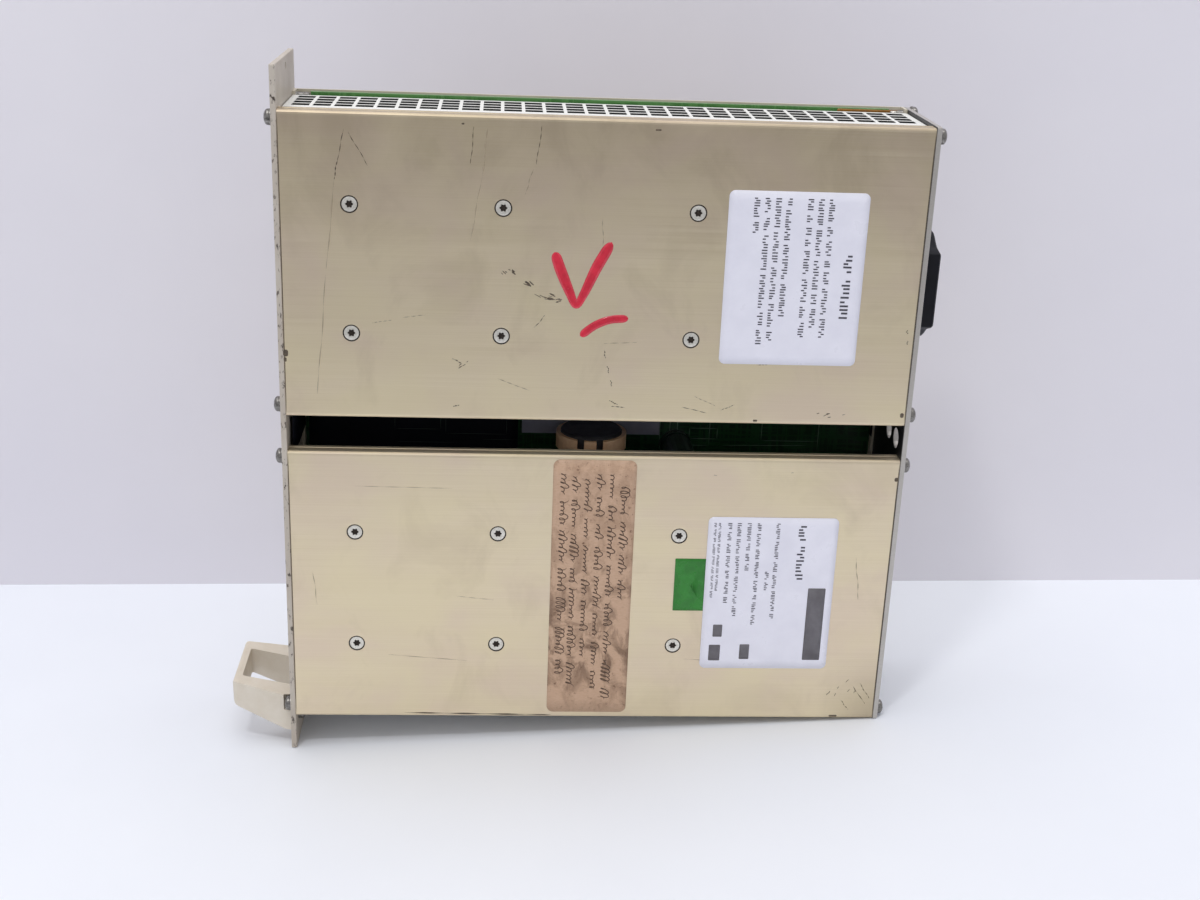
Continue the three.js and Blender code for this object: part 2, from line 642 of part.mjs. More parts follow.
// ---- assembly ----
node("front_panel", "panel", frontPanel());
node("handle", "cream", handle());
HANDLE_SCREWS.forEach(([y, z], i) =>
  node(`handle_screw_${i + 1}`, "zinc", panScrew(y, z, 0, 1)));
for (const [level, base] of Object.entries(PROFILE_BASES)) {
  node(`${level}_side_profile`, "champagne", sideProfile(base));
  node(`${level}_heat_spreader`, "aluminium", spreader(base));
  sideScrewSpots(base).forEach(([x, z], i) =>
    node(`${level}_side_screw_${i + 1}`, "zinc", sideScrew(x, z)));
}
for (const [name, y, z] of PANEL_SCREWS) {
  node(`front_screw_${name}`, "zinc", panScrew(y, z, -PANEL_THICKNESS, -1));
  node(`rear_screw_${name}`, "zinc", panScrew(y, z, BODY_LENGTH, 1));
}
node("rear_panel", "panel", rearPanel());
node("far_side_cover", "cream", farSideCover());
node("main_board", "board", mainBoard());
node("top_grille", "sheet", grille(GRILLE_Z, -1));
node("bottom_grille", "sheet", grille(BODY_HEIGHT - GRILLE_Z - GRILLE_THICKNESS, 1));
node("inlet_body", "black", inletBody());
for (const [name, spot] of Object.entries(PINS)) {
  node(name, "zinc", inletPin(spot));
}
INLET_SCREW_Z.forEach((z, i) => node(`inlet_screw_${i + 1}`, "zinc", inletScrew(z)));
node("fuse_drawer", "black", fuseDrawer());
node("fuse", "glass", fuse());
node("output_terminal", "black", outputTerminal());
TERMINAL_SCREW_Z.forEach((z, i) => node(`output_terminal_screw_${i + 1}`, "brass", terminalScrew(z)));
node("transformer_bobbin", "bobbin", bobbin());
node("transformer_core", "ferrite", transformerCore());
node("transformer_winding", "copper", transformerWinding());
node("bulk_capacitor_1", "sleeve", canCapacitor(38, 178, 15, 12.5));
node("bulk_capacitor_2", "sleeve", canCapacitor(73, 178, 15, 12.5));
node("output_capacitor", "sleeve", canCapacitor(147.5, 98, 6.5, 22));
node("output_choke", "copper", choke(186, 42));
node("insulation_pad", "filter", block(86, 140.5, 43.2, BOARD_Y - JOIN, 103, 138));
node("trimmer_body", "blue", trimmerBody());
node("trimmer_rotor", "brass", trimmerRotor());
node("lamp", "led", lamp());

// Origin at the middle of the footprint, on the lowest point.
root.updateMatrixWorld(true);
const extent = new THREE.Box3().setFromObject(root);
const middle = extent.getCenter(new THREE.Vector3());
root.position.set(-middle.x, -middle.y, -extent.min.z);

export default root;
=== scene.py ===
"""Finishes, small parts and studio for the subrack power supply module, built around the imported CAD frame.

Lengths in the tables are millimetres in the maker's frame: x from the back of the front panel to the rear,
y from the outside of the heatsink profiles inwards, z up from the underside of the body.
"""

import math

import bmesh
import bpy
import numpy as np
from bpy.props import FloatProperty, FloatVectorProperty, IntProperty, PointerProperty
from mathutils import Matrix, Vector


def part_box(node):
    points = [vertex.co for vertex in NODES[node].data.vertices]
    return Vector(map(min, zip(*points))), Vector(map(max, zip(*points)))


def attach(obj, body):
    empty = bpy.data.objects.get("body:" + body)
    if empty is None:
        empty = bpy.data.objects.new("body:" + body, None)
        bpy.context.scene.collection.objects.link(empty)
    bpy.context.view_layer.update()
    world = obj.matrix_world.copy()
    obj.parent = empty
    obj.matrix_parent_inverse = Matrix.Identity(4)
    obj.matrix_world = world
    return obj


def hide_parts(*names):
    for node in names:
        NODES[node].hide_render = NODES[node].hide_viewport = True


bl_info = {
    "name": "Subrack Power Supply",
    "version": (1, 0, 0),
    "blender": (4, 5, 0),
    "location": "View3D > Sidebar > Power Supply",
    "description": "Finishes and small parts for a plug-in power supply module",
    "category": "Object",
}

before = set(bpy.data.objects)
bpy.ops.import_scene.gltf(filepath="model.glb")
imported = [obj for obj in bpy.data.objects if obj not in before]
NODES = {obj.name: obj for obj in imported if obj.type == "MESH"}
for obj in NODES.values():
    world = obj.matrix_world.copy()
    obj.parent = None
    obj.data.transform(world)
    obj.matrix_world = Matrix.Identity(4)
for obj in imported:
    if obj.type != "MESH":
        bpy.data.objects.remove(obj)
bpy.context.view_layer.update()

MM = 0.001
CHASSIS, DRAWER = "chassis", "fuse_carrier"

# The maker's frame, found from the parts themselves.
PANEL_LOW, PANEL_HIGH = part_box("front_panel")
LOWER_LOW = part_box("lower_side_profile")[0]
REAR_LOW, REAR_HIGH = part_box("rear_panel")
ZERO = np.array([PANEL_HIGH.x, LOWER_LOW.y, LOWER_LOW.z])
OVERHANG = LOWER_LOW.z - PANEL_LOW.z
BODY_LENGTH = REAR_HIGH.x - PANEL_HIGH.x


def at(x, y, z):
    """Maker's millimetres to metres in the part's frame, for single numbers or whole arrays."""
    axes = np.broadcast_arrays(*(np.asarray(value, float) for value in (x, y, z)))
    return np.stack(axes, -1) * MM + ZERO


# ---------------------------------------------------------------- colours and node helper


def srgb(code):
    """An sRGB hex colour as linear RGBA: the piecewise sRGB curve undone on each channel."""
    channels = [int(code[i : i + 2], 16) / 255 for i in (1, 3, 5)]
    linear = [c / 12.92 if c <= 0.04045 else ((c + 0.055) / 1.055) ** 2.4 for c in channels]
    return (*linear, 1.0)


def add(tree, kind, settings=None, inputs=None):
    """One node of a kind, with its settings, and each input given a value or linked from a socket."""
    node = tree.nodes.new("ShaderNode" + kind)
    for key, value in (settings or {}).items():
        setattr(node, key, value)
    for key, value in (inputs or {}).items():
        if isinstance(value, bpy.types.NodeSocket):
            tree.links.new(value, node.inputs[key])
        else:
            node.inputs[key].default_value = value
    return node


def start_material(name, roughness=0.5, metallic=0.0, **sockets):
    """A material with one Principled shader, its constant sockets set directly."""
    material = bpy.data.materials.new(name)
    material.use_nodes = True
    tree = material.node_tree
    tree.nodes.clear()
    named = {key.replace("_", " "): value for key, value in sockets.items()}
    shader = add(tree, "BsdfPrincipled", None, {"Roughness": roughness, "Metallic": metallic, **named})
    add(tree, "OutputMaterial", None, {"Surface": shader.outputs["BSDF"]})
    return material, tree, shader


def speckle(tree, size_mm, detail=4.0, roughness=0.55, distortion=0.0):
    """Noise whose features are size_mm long on each axis, in the part's own coordinates."""
    place = add(tree, "TexCoord")
    stretched = add(tree, "Mapping", None, {
        "Vector": place.outputs["Object"],
        "Scale": [1 / (MM * s) for s in size_mm],
    })
    noise = add(tree, "TexNoise", None, {
        "Vector": stretched.outputs["Vector"],
        "Scale": 1.0,
        "Detail": detail,
        "Roughness": roughness,
        "Distortion": distortion,
    })
    return noise.outputs["Fac"]


def ease(tree, value, low, high, to_low=0.0, to_high=1.0):
    """A value brought from one range to another and held at its ends."""
    return add(tree, "MapRange", {"clamp": True}, {
        "Value": value,
        "From Min": low,
        "From Max": high,
        "To Min": to_low,
        "To Max": to_high,
    }).outputs["Result"]


def blend_colour(tree, factor, first, second):
    """Two colours or colour sockets mixed by a factor."""
    return add(tree, "Mix", {"data_type": "RGBA"}, {0: factor, 6: first, 7: second}).outputs[2]


def multiply(tree, a, b):
    """Two values multiplied."""
    return add(tree, "Math", {"operation": "MULTIPLY"}, {0: a, 1: b}).outputs[0]


def lift(tree, shader, height, depth_mm, strength=1.0):
    """Bump of a given depth on a shader's normal."""
    bump = add(tree, "Bump", None, {"Height": height, "Distance": depth_mm * MM, "Strength": strength})
    tree.links.new(bump.outputs["Normal"], shader.inputs["Normal"])


# ---------------------------------------------------------------- finishes


def painted_top_shade_and_dark_corner(tree, tone, cloud):
    """Darkening on the profiles: browner towards the top, a painted shade that stands in for the dark room
    reflected in the upper profile's top, and darker at the lower rear corner, with faint yellow and pink
    clouds between."""
    axes = add(tree, "SeparateXYZ", None, {0: add(tree, "TexCoord").outputs["Object"]}).outputs
    low, high = at(204, 0, 0), at(228, 0, 32)
    top_shade = ease(tree, axes["Z"], float(at(0, 0, 184)[2]), float(at(0, 0, 233)[2]), 0.0, 0.42)
    rear = ease(tree, axes["X"], float(low[0]), float(high[0]))
    foot = ease(tree, axes["Z"], float(low[2]), float(high[2]), 0.5, 0.0)
    patch = speckle(tree, (38, 30, 26), 3.0, 0.5, 0.4)
    tone = blend_colour(tree, ease(tree, patch, 0.5, 0.68, 0.0, 0.3), tone, srgb("#E9DDB4"))
    tone = blend_colour(tree, ease(tree, patch, 0.5, 0.34, 0.0, 0.3), tone, srgb("#DDC6BA"))
    top_shade = multiply(tree, top_shade, ease(tree, cloud, 0.3, 0.6, 0.75, 1.15))
    # Painted shade: browner towards the top of the upper profile.
    tone = blend_colour(tree, top_shade, tone, srgb("#8F7D68"))
    # Darker at the lower rear corner.
    return blend_colour(tree, multiply(tree, rear, foot), tone, srgb("#7E6C5A"))


def brushed(name, light, dark, metallic, rough, grain=(70, 0.35, 0.28), stain="#8A7656", stain_amount=0.25,
            painted_top_shade=False, inner=None):
    """Rolled or extruded aluminium with a lengthwise grain: fine streaks in colour, gloss and height.

    The grain gives the eye soft lines that run the length of the part, and the stain its handled look.
    A sheet may have an inner face, given by the x below which it is painted near black and not metallic:
    painted shade for the unlit inside of the case."""
    material, tree, shader = start_material(name, rough, metallic)
    streak = speckle(tree, grain, 3.0, 0.6)
    broad = speckle(tree, (120, 60, 9), 3.0, 0.5)
    cloud = speckle(tree, (26, 26, 34), 5.0, 0.6, 0.6)
    tone = blend_colour(tree, ease(tree, streak, 0.2, 0.8), srgb(dark), srgb(light))
    tone = blend_colour(tree, ease(tree, broad, 0.35, 0.65, 0.0, 0.3), tone, srgb(dark))
    tone = blend_colour(tree, ease(tree, cloud, 0.52, 0.85, 0.0, stain_amount), tone, srgb(stain))
    # Painted shade towards the profiles' top, and a darker lower rear corner.
    if painted_top_shade:
        tone = painted_top_shade_and_dark_corner(tree, tone, cloud)
    if inner is not None:
        # Painted shade: the inner face is near black and not metallic.
        across = add(tree, "SeparateXYZ", None, {0: add(tree, "TexCoord").outputs["Object"]}).outputs["X"]
        inner_shade = ease(tree, across, inner + 0.1 * MM, inner + 0.3 * MM, 1.0, 0.0)
        tone = blend_colour(tree, inner_shade, tone, srgb("#1B1A1C"))
        tree.links.new(ease(tree, inner_shade, 0.0, 1.0, metallic, 0.0), shader.inputs["Metallic"])
    tree.links.new(tone, shader.inputs["Base Color"])
    tree.links.new(ease(tree, streak, 0.25, 0.75, rough - 0.05, rough + 0.08), shader.inputs["Roughness"])
    lift(tree, shader, streak, 0.012, 0.5)
    return material


def moulded(name, light, dark, rough, grit_mm=0.5, depth_mm=0.01, blotch_mm=14.0, **sockets):
    """Moulded plastic, lacquer or paint: a fine even grit and slow changes of tone from handling."""
    material, tree, shader = start_material(name, rough, **sockets)
    grit = speckle(tree, (grit_mm,) * 3, 2.0)
    blotch = speckle(tree, (blotch_mm,) * 3, 4.0, 0.6)
    tone = blend_colour(tree, ease(tree, blotch, 0.35, 0.7), srgb(light), srgb(dark))
    tree.links.new(tone, shader.inputs["Base Color"])
    tree.links.new(ease(tree, blotch, 0.3, 0.75, rough - 0.05, rough + 0.07), shader.inputs["Roughness"])
    lift(tree, shader, grit, depth_mm, 0.6)
    return material


def worn_paint(name, light, dark, chip, rough, edge_axis, edge_at, edge_width_mm, chip_at=0.56):
    """Lacquered plate whose rim has lost paint in small chips.

    Bare dark metal shows where the rim was knocked."""
    material, tree, shader = start_material(name, rough)
    grit = speckle(tree, (0.6,) * 3, 2.0)
    blotch = speckle(tree, (22,) * 3, 4.0)
    flakes = speckle(tree, (1.3, 1.0, 2.8), 6.0, 0.7)
    place = add(tree, "TexCoord")
    axes = add(tree, "SeparateXYZ", None, {0: place.outputs["Object"]})
    near_rim = ease(tree, axes.outputs[edge_axis], edge_at, edge_at + edge_width_mm * MM, 1.0, 0.0)
    chipped = multiply(tree, near_rim, ease(tree, flakes, chip_at, chip_at + 0.07))
    tone = blend_colour(tree, ease(tree, blotch, 0.35, 0.7), srgb(light), srgb(dark))
    tone = blend_colour(tree, chipped, tone, srgb(chip))
    tree.links.new(tone, shader.inputs["Base Color"])
    tree.links.new(ease(tree, blotch, 0.3, 0.7, rough - 0.04, rough + 0.08), shader.inputs["Roughness"])
    lift(tree, shader, blend_colour(tree, chipped, grit, (0, 0, 0, 1)), 0.03, 0.5)
    return material


def plated(name, light, dark, rough, spot_mm=0.9, metallic=1.0, shade_below=None):
    """Zinc or nickel plate on turned steel: bright, a little cloudy, with dull spots of age.

    Below a given height, just under a plate's upper face, the plate is painted near black: painted shade on
    slot walls and underside facing the unlit inside."""
    material, tree, shader = start_material(name, rough, metallic)
    cloud = speckle(tree, (spot_mm,) * 3, 4.0, 0.65)
    tone = blend_colour(tree, ease(tree, cloud, 0.35, 0.72), srgb(light), srgb(dark))
    if shade_below is not None:
        # Painted shade: near black below the upper face.
        height = add(tree, "SeparateXYZ", None, {0: add(tree, "TexCoord").outputs["Object"]}).outputs["Z"]
        under_shade = ease(tree, height, shade_below - 0.22 * MM, shade_below - 0.1 * MM, 1.0, 0.0)
        tone = blend_colour(tree, under_shade, tone, srgb("#151412"))
    tree.links.new(tone, shader.inputs["Base Color"])
    tree.links.new(ease(tree, cloud, 0.3, 0.75, rough - 0.08, rough + 0.16), shader.inputs["Roughness"])
    lift(tree, shader, cloud, 0.01, 0.4)
    return material


def solder_mask(name, top):
    """Green lacquer over an etched laminate.

    The copper lanes, and the copper border along the top, show lighter. The border's pale green is also
    painted light on the board's top edge, and the dark green below is painted shade inside the case."""
    material, tree, shader = start_material(name, 0.3, 0.0, Coat_Weight=0.3, Coat_Roughness=0.2)
    along = ease(tree, speckle(tree, (16, 4, 1.1), 1.0), 0.52, 0.55)
    across = ease(tree, speckle(tree, (1.1, 4, 16), 1.0), 0.53, 0.56)
    lanes = add(tree, "Math", {"operation": "MAXIMUM"}, {0: along, 1: across}).outputs[0]
    tone = blend_colour(tree, lanes, srgb("#12321C"), srgb("#1C4726"))
    height = add(tree, "SeparateXYZ", None, {0: add(tree, "TexCoord").outputs["Object"]}).outputs["Z"]
    # Lighter border at the top: copper, and also painted light on the board's top edge.
    lit_copper_border = ease(tree, height, top - 4.5 * MM, top - 4.2 * MM)
    tone = blend_colour(tree, lit_copper_border, tone, blend_colour(tree, lanes, srgb("#4F8A44"), srgb("#5E9A50")))
    tree.links.new(tone, shader.inputs["Base Color"])
    lift(tree, shader, lanes, 0.03, 0.4)
    return material


def stained_paper(name):
    """Kraft paper tape gone glossy with handling.

    Brown fibre, with darker grease spots that pool into each other."""
    material, tree, shader = start_material(name, 0.5)
    fibre = speckle(tree, (1.8, 1.8, 0.35), 4.0, 0.7)
    spots = speckle(tree, (7.0, 7.0, 10.0), 6.0, 0.62, 0.8)
    freckles = speckle(tree, (1.6,) * 3, 5.0, 0.7)
    place = add(tree, "TexCoord")
    height = add(tree, "SeparateXYZ", None, {0: place.outputs["Object"]}).outputs["Z"]
    mid = float(at(0, 0, 32)[2])
    low = ease(tree, height, mid - 26 * MM, mid - 8 * MM, 0.3, 1.0)
    high = ease(tree, height, mid + 14 * MM, mid + 40 * MM, 1.0, 0.25)
    where = multiply(tree, low, high)
    grease = multiply(tree, where, ease(tree, spots, 0.46, 0.62))
    flecks = multiply(tree, ease(tree, freckles, 0.58, 0.68), ease(tree, spots, 0.36, 0.6, 0.15, 0.9))
    tone = blend_colour(tree, ease(tree, fibre, 0.3, 0.7), srgb("#CFAE93"), srgb("#C29F81"))
    tone = blend_colour(tree, ease(tree, spots, 0.45, 0.75, 0.0, 0.35), tone, srgb("#A17C5C"))
    tone = blend_colour(tree, multiply(tree, grease, 0.66), tone, srgb("#5B3E27"))
    tone = blend_colour(tree, flecks, tone, srgb("#6B4A31"))
    tree.links.new(tone, shader.inputs["Base Color"])
    tree.links.new(ease(tree, grease, 0.0, 1.0, 0.5, 0.3), shader.inputs["Roughness"])
    lift(tree, shader, fibre, 0.03, 0.5)
    return material


def make_finishes():
    """Every finish by its short name."""
    front_rim = float(PANEL_LOW.y)
    return {
        # Extruded aluminium with a pale bronze chromate: satin, with a lengthwise grain and brown stains, and
        # painted shade browning the top.
        "champagne": brushed("chromated_aluminium", "#EBDDC1", "#DFCFAF", 0.8, 0.40, painted_top_shade=True),
        # The same metal left bare inside.
        "mill": brushed("mill_aluminium", "#B9BABC", "#9FA1A4", 0.85, 0.36,
                        stain="#77787A", stain_amount=0.15),
        # Rolled sheet for the rear: paler and cooler than the profiles, with painted shade on its inner face.
        "rear_sheet": brushed("rolled_aluminium", "#C8C4BE", "#B4AFA8", 0.6, 0.38, (0.4, 60, 0.35),
                              "#8F8A82", 0.2, inner=float(REAR_LOW.x)),
        # Stoved lacquer on the front plate: warm grey, chipped along its near rim.
        "front_lacquer": worn_paint("stoved_lacquer", "#C6BDB0", "#B8AD9F", "#4A4038", 0.42,
                                    "Y", front_rim, 1.1),
        "cover_lacquer": moulded("cover_lacquer", "#D8D0BC", "#CBC2AC", 0.42, 0.8, 0.008, 40.0),
        # ABS moulded against a fine spark-eroded tool: soft sheen, yellowed a little.
        "handle_abs": moulded("cream_abs", "#E4DBCB", "#DACFBC", 0.46, 0.45, 0.012, 9.0),
        # The top grille's sheet: painted shade, near black just under its upper face.
        "grille_plate": plated("tinned_sheet", "#F6F6F0", "#E6E6DE", 0.42, 3.0, 0.2,
                               float(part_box("top_grille")[1].z)),
        "foot_plate": plated("tinned_sheet_below", "#E4E4DE", "#CFCFC8", 0.42, 3.0, 0.3),
        "zinc": plated("zinc_plate", "#EDEAE0", "#C9C5BA", 0.32, 0.9, 0.55),
        # The same plate, darker on the panel screws: painted shade for heads that sit in shade at the ends of
        # the unit.
        "shaded_zinc": plated("shaded_zinc_plate", "#9A9792", "#5C5955", 0.3, 0.9, 0.9),
        "packed_dirt": moulded("packed_dirt", "#33291F", "#241C15", 0.8, 0.3, 0.02, 1.0),
        # Near-black sheet with a faint blue cast: over the board's left part, and as painted shade at the
        # gap's ends and under the top grille.
        "near_black_sheet": moulded("near_black_sheet", "#14161E", "#0F1117", 0.6, 0.6, 0.008, 12.0,
                              Specular_IOR_Level=0.15),
        "faded_label": moulded("faded_label", "#34364A", "#2B2D40", 0.5, 0.6, 0.004, 6.0),
        "brass": plated("turned_brass", "#D4AE63", "#A98340", 0.28, 1.5),
        "black_pa": moulded("black_polyamide", "#17171E", "#121217", 0.5, 0.5, 0.01, 12.0,
                            Specular_IOR_Level=0.2),
        "solder_mask": solder_mask("solder_mask", float(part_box("main_board")[1].z)),
        "bobbin_pa": moulded("natural_bobbin", "#DDB893", "#CBA07A", 0.42, 0.5, 0.01, 4.0),
        "ferrite": moulded("ground_ferrite", "#2A2A2D", "#1D1D20", 0.5, 0.25, 0.02, 3.0),
        "enamelled_wire": plated("enamelled_copper", "#B06A38", "#8A4A26", 0.34, 1.2),
        "sleeve": moulded("shrunk_sleeve", "#1F2C4C", "#18223A", 0.28, 1.0, 0.006, 10.0),
        "silicone_pad": moulded("silicone_pad", "#8A8A99", "#7C7C8B", 0.6, 0.6, 0.015, 7.0),
        "dark_sleeve": moulded("dark_sleeve", "#1C3228", "#15261E", 0.3, 1.0, 0.006, 8.0),
        "blue_pbt": moulded("blue_pbt", "#2F62AE", "#274F92", 0.4, 0.4, 0.01, 5.0),
        "lamp_lens": moulded("tinted_lens", "#5EC24A", "#4BA93B", 0.12, 2.0, 0.002, 3.0,
                             Transmission_Weight=0.35, Coat_Weight=0.6),
        "fuse_glass": moulded("soda_glass", "#E4EEF0", "#D6E2E6", 0.05, 2.0, 0.001, 5.0,
                              Transmission_Weight=0.8, IOR=1.5),
        # Printed vinyl: smooth, bright, slightly blue against the warm metal.
        "label_vinyl": moulded("label_vinyl", "#EFEEF7", "#E7E6F0", 0.3, 0.8, 0.004, 12.0),
        "ink": moulded("label_ink", "#4A4852", "#3E3C46", 0.5, 0.5, 0.002, 5.0),
        "grey_ink": moulded("grey_ink", "#6F6C70", "#5F5C60", 0.4, 0.5, 0.002, 4.0),
        "green_foil": moulded("green_foil", "#2A8427", "#21701F", 0.28, 0.8, 0.004, 4.0),
        "kraft": stained_paper("kraft_tape"),
        # Oil-based paint marker: thick, glossy, brighter where it pooled.
        "marker_paint": moulded("marker_paint", "#DE3247", "#C41F36", 0.22, 1.2, 0.02, 3.0, Coat_Weight=0.5),
        "scuff": moulded("rubbed_dirt", "#4A3F33", "#6A5C4A", 0.6, 0.4, 0.01, 2.0),
        "faint_scuff": moulded("faint_rub", "#A09078", "#AF9F86", 0.5, 0.4, 0.005, 3.0),
        "pen": moulded("faded_pen", "#4C3828", "#5C4636", 0.5, 0.4, 0.002, 3.0),
        "silkscreen": moulded("silkscreen", "#6F8573", "#5D7261", 0.55, 0.5, 0.003, 5.0),
        "resistor_body": moulded("resistor_lacquer", "#C7A26B", "#B08A55", 0.35, 0.4, 0.01, 3.0),
        "chip_epoxy": moulded("chip_epoxy", "#26262A", "#1C1C20", 0.55, 0.3, 0.01, 4.0),
        "film_box": moulded("film_box", "#B98A2E", "#A67A26", 0.35, 0.6, 0.008, 5.0),
        "wire_blue": moulded("wire_blue", "#2C4FA0", "#244388", 0.4, 0.6, 0.006, 6.0),
        "wire_brown": moulded("wire_brown", "#6B4026", "#5A351F", 0.4, 0.6, 0.006, 6.0),
        "wire_green": moulded("wire_green", "#5F9A2E", "#C9C23A", 0.4, 0.6, 0.006, 4.0),
        "polyimide": moulded("polyimide_tape", "#A9752C", "#8F5F22", 0.25, 0.8, 0.004, 6.0),
    }


FINISH = make_finishes()
CAD_FINISH = {
    "front_panel": "front_lacquer",
    "handle": "handle_abs",
    "rear_panel": "rear_sheet",
    "far_side_cover": "cover_lacquer",
    "main_board": "solder_mask",
    "inlet_body": "black_pa",
    "fuse_drawer": "black_pa",
    "output_terminal": "black_pa",
    "fuse": "fuse_glass",
    "transformer_bobbin": "bobbin_pa",
    "transformer_core": "ferrite",
    "transformer_winding": "enamelled_wire",
    "output_choke": "enamelled_wire",
    "insulation_pad": "silicone_pad",
    "trimmer_body": "blue_pbt",
    "trimmer_rotor": "brass",
    "lamp": "lamp_lens",
    "output_capacitor": "dark_sleeve",
    "bottom_grille": "foot_plate",
}
CAD_FINISH_BY_WORD = [
    ("side_profile", "champagne"),
    ("heat_spreader", "mill"),
    ("grille", "grille_plate"),
    ("capacitor", "sleeve"),
    ("terminal_screw", "brass"),
    ("screw", "zinc"),
    ("pin", "zinc"),
]


def finish_for(node):
    """The finish of a CAD node: its own entry, or the first word of its name that the list knows."""
    if node in CAD_FINISH:
        return CAD_FINISH[node]
    return next(finish for word, finish in CAD_FINISH_BY_WORD if word in node)


# ---------------------------------------------------------------- surfaces

# How deep the six lobes of a screw's socket are, as a share of its radius.
LOBE_DEPTH = 0.16


def mesh_object(name, vertices, faces, sharp_degrees=38.0, outward=True):
    """Points and faces as an object at the origin: doubles merged, faces turned outwards, soft shading."""
    mesh = bpy.data.meshes.new(name)
    mesh.from_pydata(np.asarray(vertices).tolist(), [], np.asarray(faces).tolist())
    work = bmesh.new()
    work.from_mesh(mesh)
    bmesh.ops.remove_doubles(work, verts=work.verts, dist=1e-7)
    bmesh.ops.dissolve_degenerate(work, edges=work.edges, dist=1e-8)
    if outward:
        bmesh.ops.recalc_face_normals(work, faces=work.faces)
    work.to_mesh(mesh)
    work.free()
    mesh.shade_smooth()
    mesh.set_sharp_from_angle(angle=math.radians(sharp_degrees))
    obj = bpy.data.objects.new(name, mesh)
    bpy.context.scene.collection.objects.link(obj)
    return obj


def grid_faces(rows, columns, wrap_rows=False, wrap_columns=False, offset=0):
    """Quads between neighbouring points of a grid, joined round where it wraps."""
    i = np.arange(rows if wrap_rows else rows - 1)
    j = np.arange(columns if wrap_columns else columns - 1)
    i, j = (a.ravel() for a in np.meshgrid(i, j, indexing="ij"))
    up, across = (i + 1) % rows, (j + 1) % columns
    quads = np.stack([i * columns + j, i * columns + across, up * columns + across, up * columns + j], -1)
    return quads + offset


def grids_object(name, grids, wrap_rows=False, wrap_columns=False, **options):
    """Many grids of the same kind as one object."""
    vertices, faces, count = [], [], 0
    for grid in grids:
        rows, columns, _ = grid.shape
        vertices.append(grid.reshape(-1, 3))
        faces.append(grid_faces(rows, columns, wrap_rows, wrap_columns, count))
        count += rows * columns
    return mesh_object(name, np.concatenate(vertices), np.concatenate(faces), **options)


def turned_grid(profile, centre, axis, columns=40, lobes=None):
    """A profile of (radius, height) carried round an axis: point = centre + r (cos a, sin a) + h along it.

    Rings below the lobes index have their radius scalloped by 1 + LOBE_DEPTH cos 6a, which cuts a six-lobed
    socket."""
    profile = np.asarray(profile, float)
    angle = np.linspace(0, 2 * math.pi, columns, endpoint=False)
    radius = np.repeat(profile[:, :1], columns, 1)
    if lobes is not None:
        radius[:lobes] *= 1 + LOBE_DEPTH * np.cos(6 * angle)
    height = np.repeat(profile[:, 1:], columns, 1)
    first, second = radius * np.cos(angle), radius * np.sin(angle)
    order = {"x": (height, first, second), "y": (first, height, second), "z": (first, second, height)}[axis]
    return at(centre[0] + order[0], centre[1] + order[1], centre[2] + order[2])


def tube_grid(path, radius, columns=10):
    """A circle carried along a path: each ring stands square to the path, turned as little as possible."""
    path = np.asarray(path, float)
    tangent = np.gradient(path, axis=0)
    tangent /= np.linalg.norm(tangent, axis=1, keepdims=True)
    side = np.cross(tangent, [0.31, 0.87, 0.38])
    side /= np.linalg.norm(side, axis=1, keepdims=True)
    up = np.cross(tangent, side)
    angle = np.linspace(0, 2 * math.pi, columns, endpoint=False)
    ends = np.concatenate([path[:1], path, path[-1:]])
    side, up = (np.concatenate([v[:1], v, v[-1:]]) for v in (side, up))
    scale = np.concatenate([[0.0], np.ones(len(path)), [0.0]])[:, None, None] * radius
    ring = np.cos(angle)[None, :, None] * side[:, None] + np.sin(angle)[None, :, None] * up[:, None]
    points = ends[:, None] + scale * ring
    return at(points[..., 0], points[..., 1], points[..., 2])


def smooth_path(knots, steps=12):
    """Points on a Catmull-Rom curve through knots: each span is a cubic that leaves and meets its
    knots along the line joining their neighbours."""
    k = np.asarray(knots, float)
    k = np.concatenate([[2 * k[0] - k[1]], k, [2 * k[-1] - k[-2]]])
    t = np.linspace(0, 1, steps, endpoint=False)[:, None]
    spans = []
    for a, b, c, d in zip(k, k[1:], k[2:], k[3:]):
        squared = (2 * a - 5 * b + 4 * c - d) * t**2
        cubed = (3 * b - a - 3 * c + d) * t**3
        spans.append(0.5 * (2 * b + (c - a) * t + squared + cubed))
    return np.concatenate([*spans, k[-2:-1]])


def pillow_grid(centre, half, power=0.28, rows=12, columns=24):
    """A rounded box: a superellipsoid, whose sines and cosines are raised to a small power.

    The small power leaves its faces nearly flat."""
    def swing(value):
        return np.sign(value) * np.abs(value) ** power

    tilt = np.linspace(-math.pi / 2, math.pi / 2, rows)[:, None]
    turn = np.linspace(-math.pi, math.pi, columns, endpoint=False)[None, :]
    x = centre[0] + half[0] * swing(np.cos(tilt)) * swing(np.cos(turn))
    z = centre[2] + half[2] * swing(np.cos(tilt)) * swing(np.sin(turn))
    y = centre[1] + half[1] * swing(np.sin(tilt)) * np.ones_like(turn)
    return at(x, y, z)


def sheet_grid(centre, half, corner, y, rings=10, columns=96, bulge=0.0):
    """A rounded rectangle filled from its middle: rings of the outline shrunk towards the centre.

    The outline is a circle of the corner's radius pushed out to the four corners of the inner rectangle. The
    bulge is the height of a slow wave along the rim."""
    angle = np.linspace(0, 2 * math.pi, columns, endpoint=False) + math.pi / columns
    dx, dz = np.cos(angle), np.sin(angle)
    edge_x = np.sign(dx) * (half[0] - corner) + corner * dx
    edge_z = np.sign(dz) * (half[1] - corner) + corner * dz
    share = np.linspace(0, 1, rings)[:, None]
    wave = bulge * np.sin(5 * angle + 2 * share) * share**2
    return at(centre[0] + edge_x * share, y + wave, centre[1] + edge_z * share)


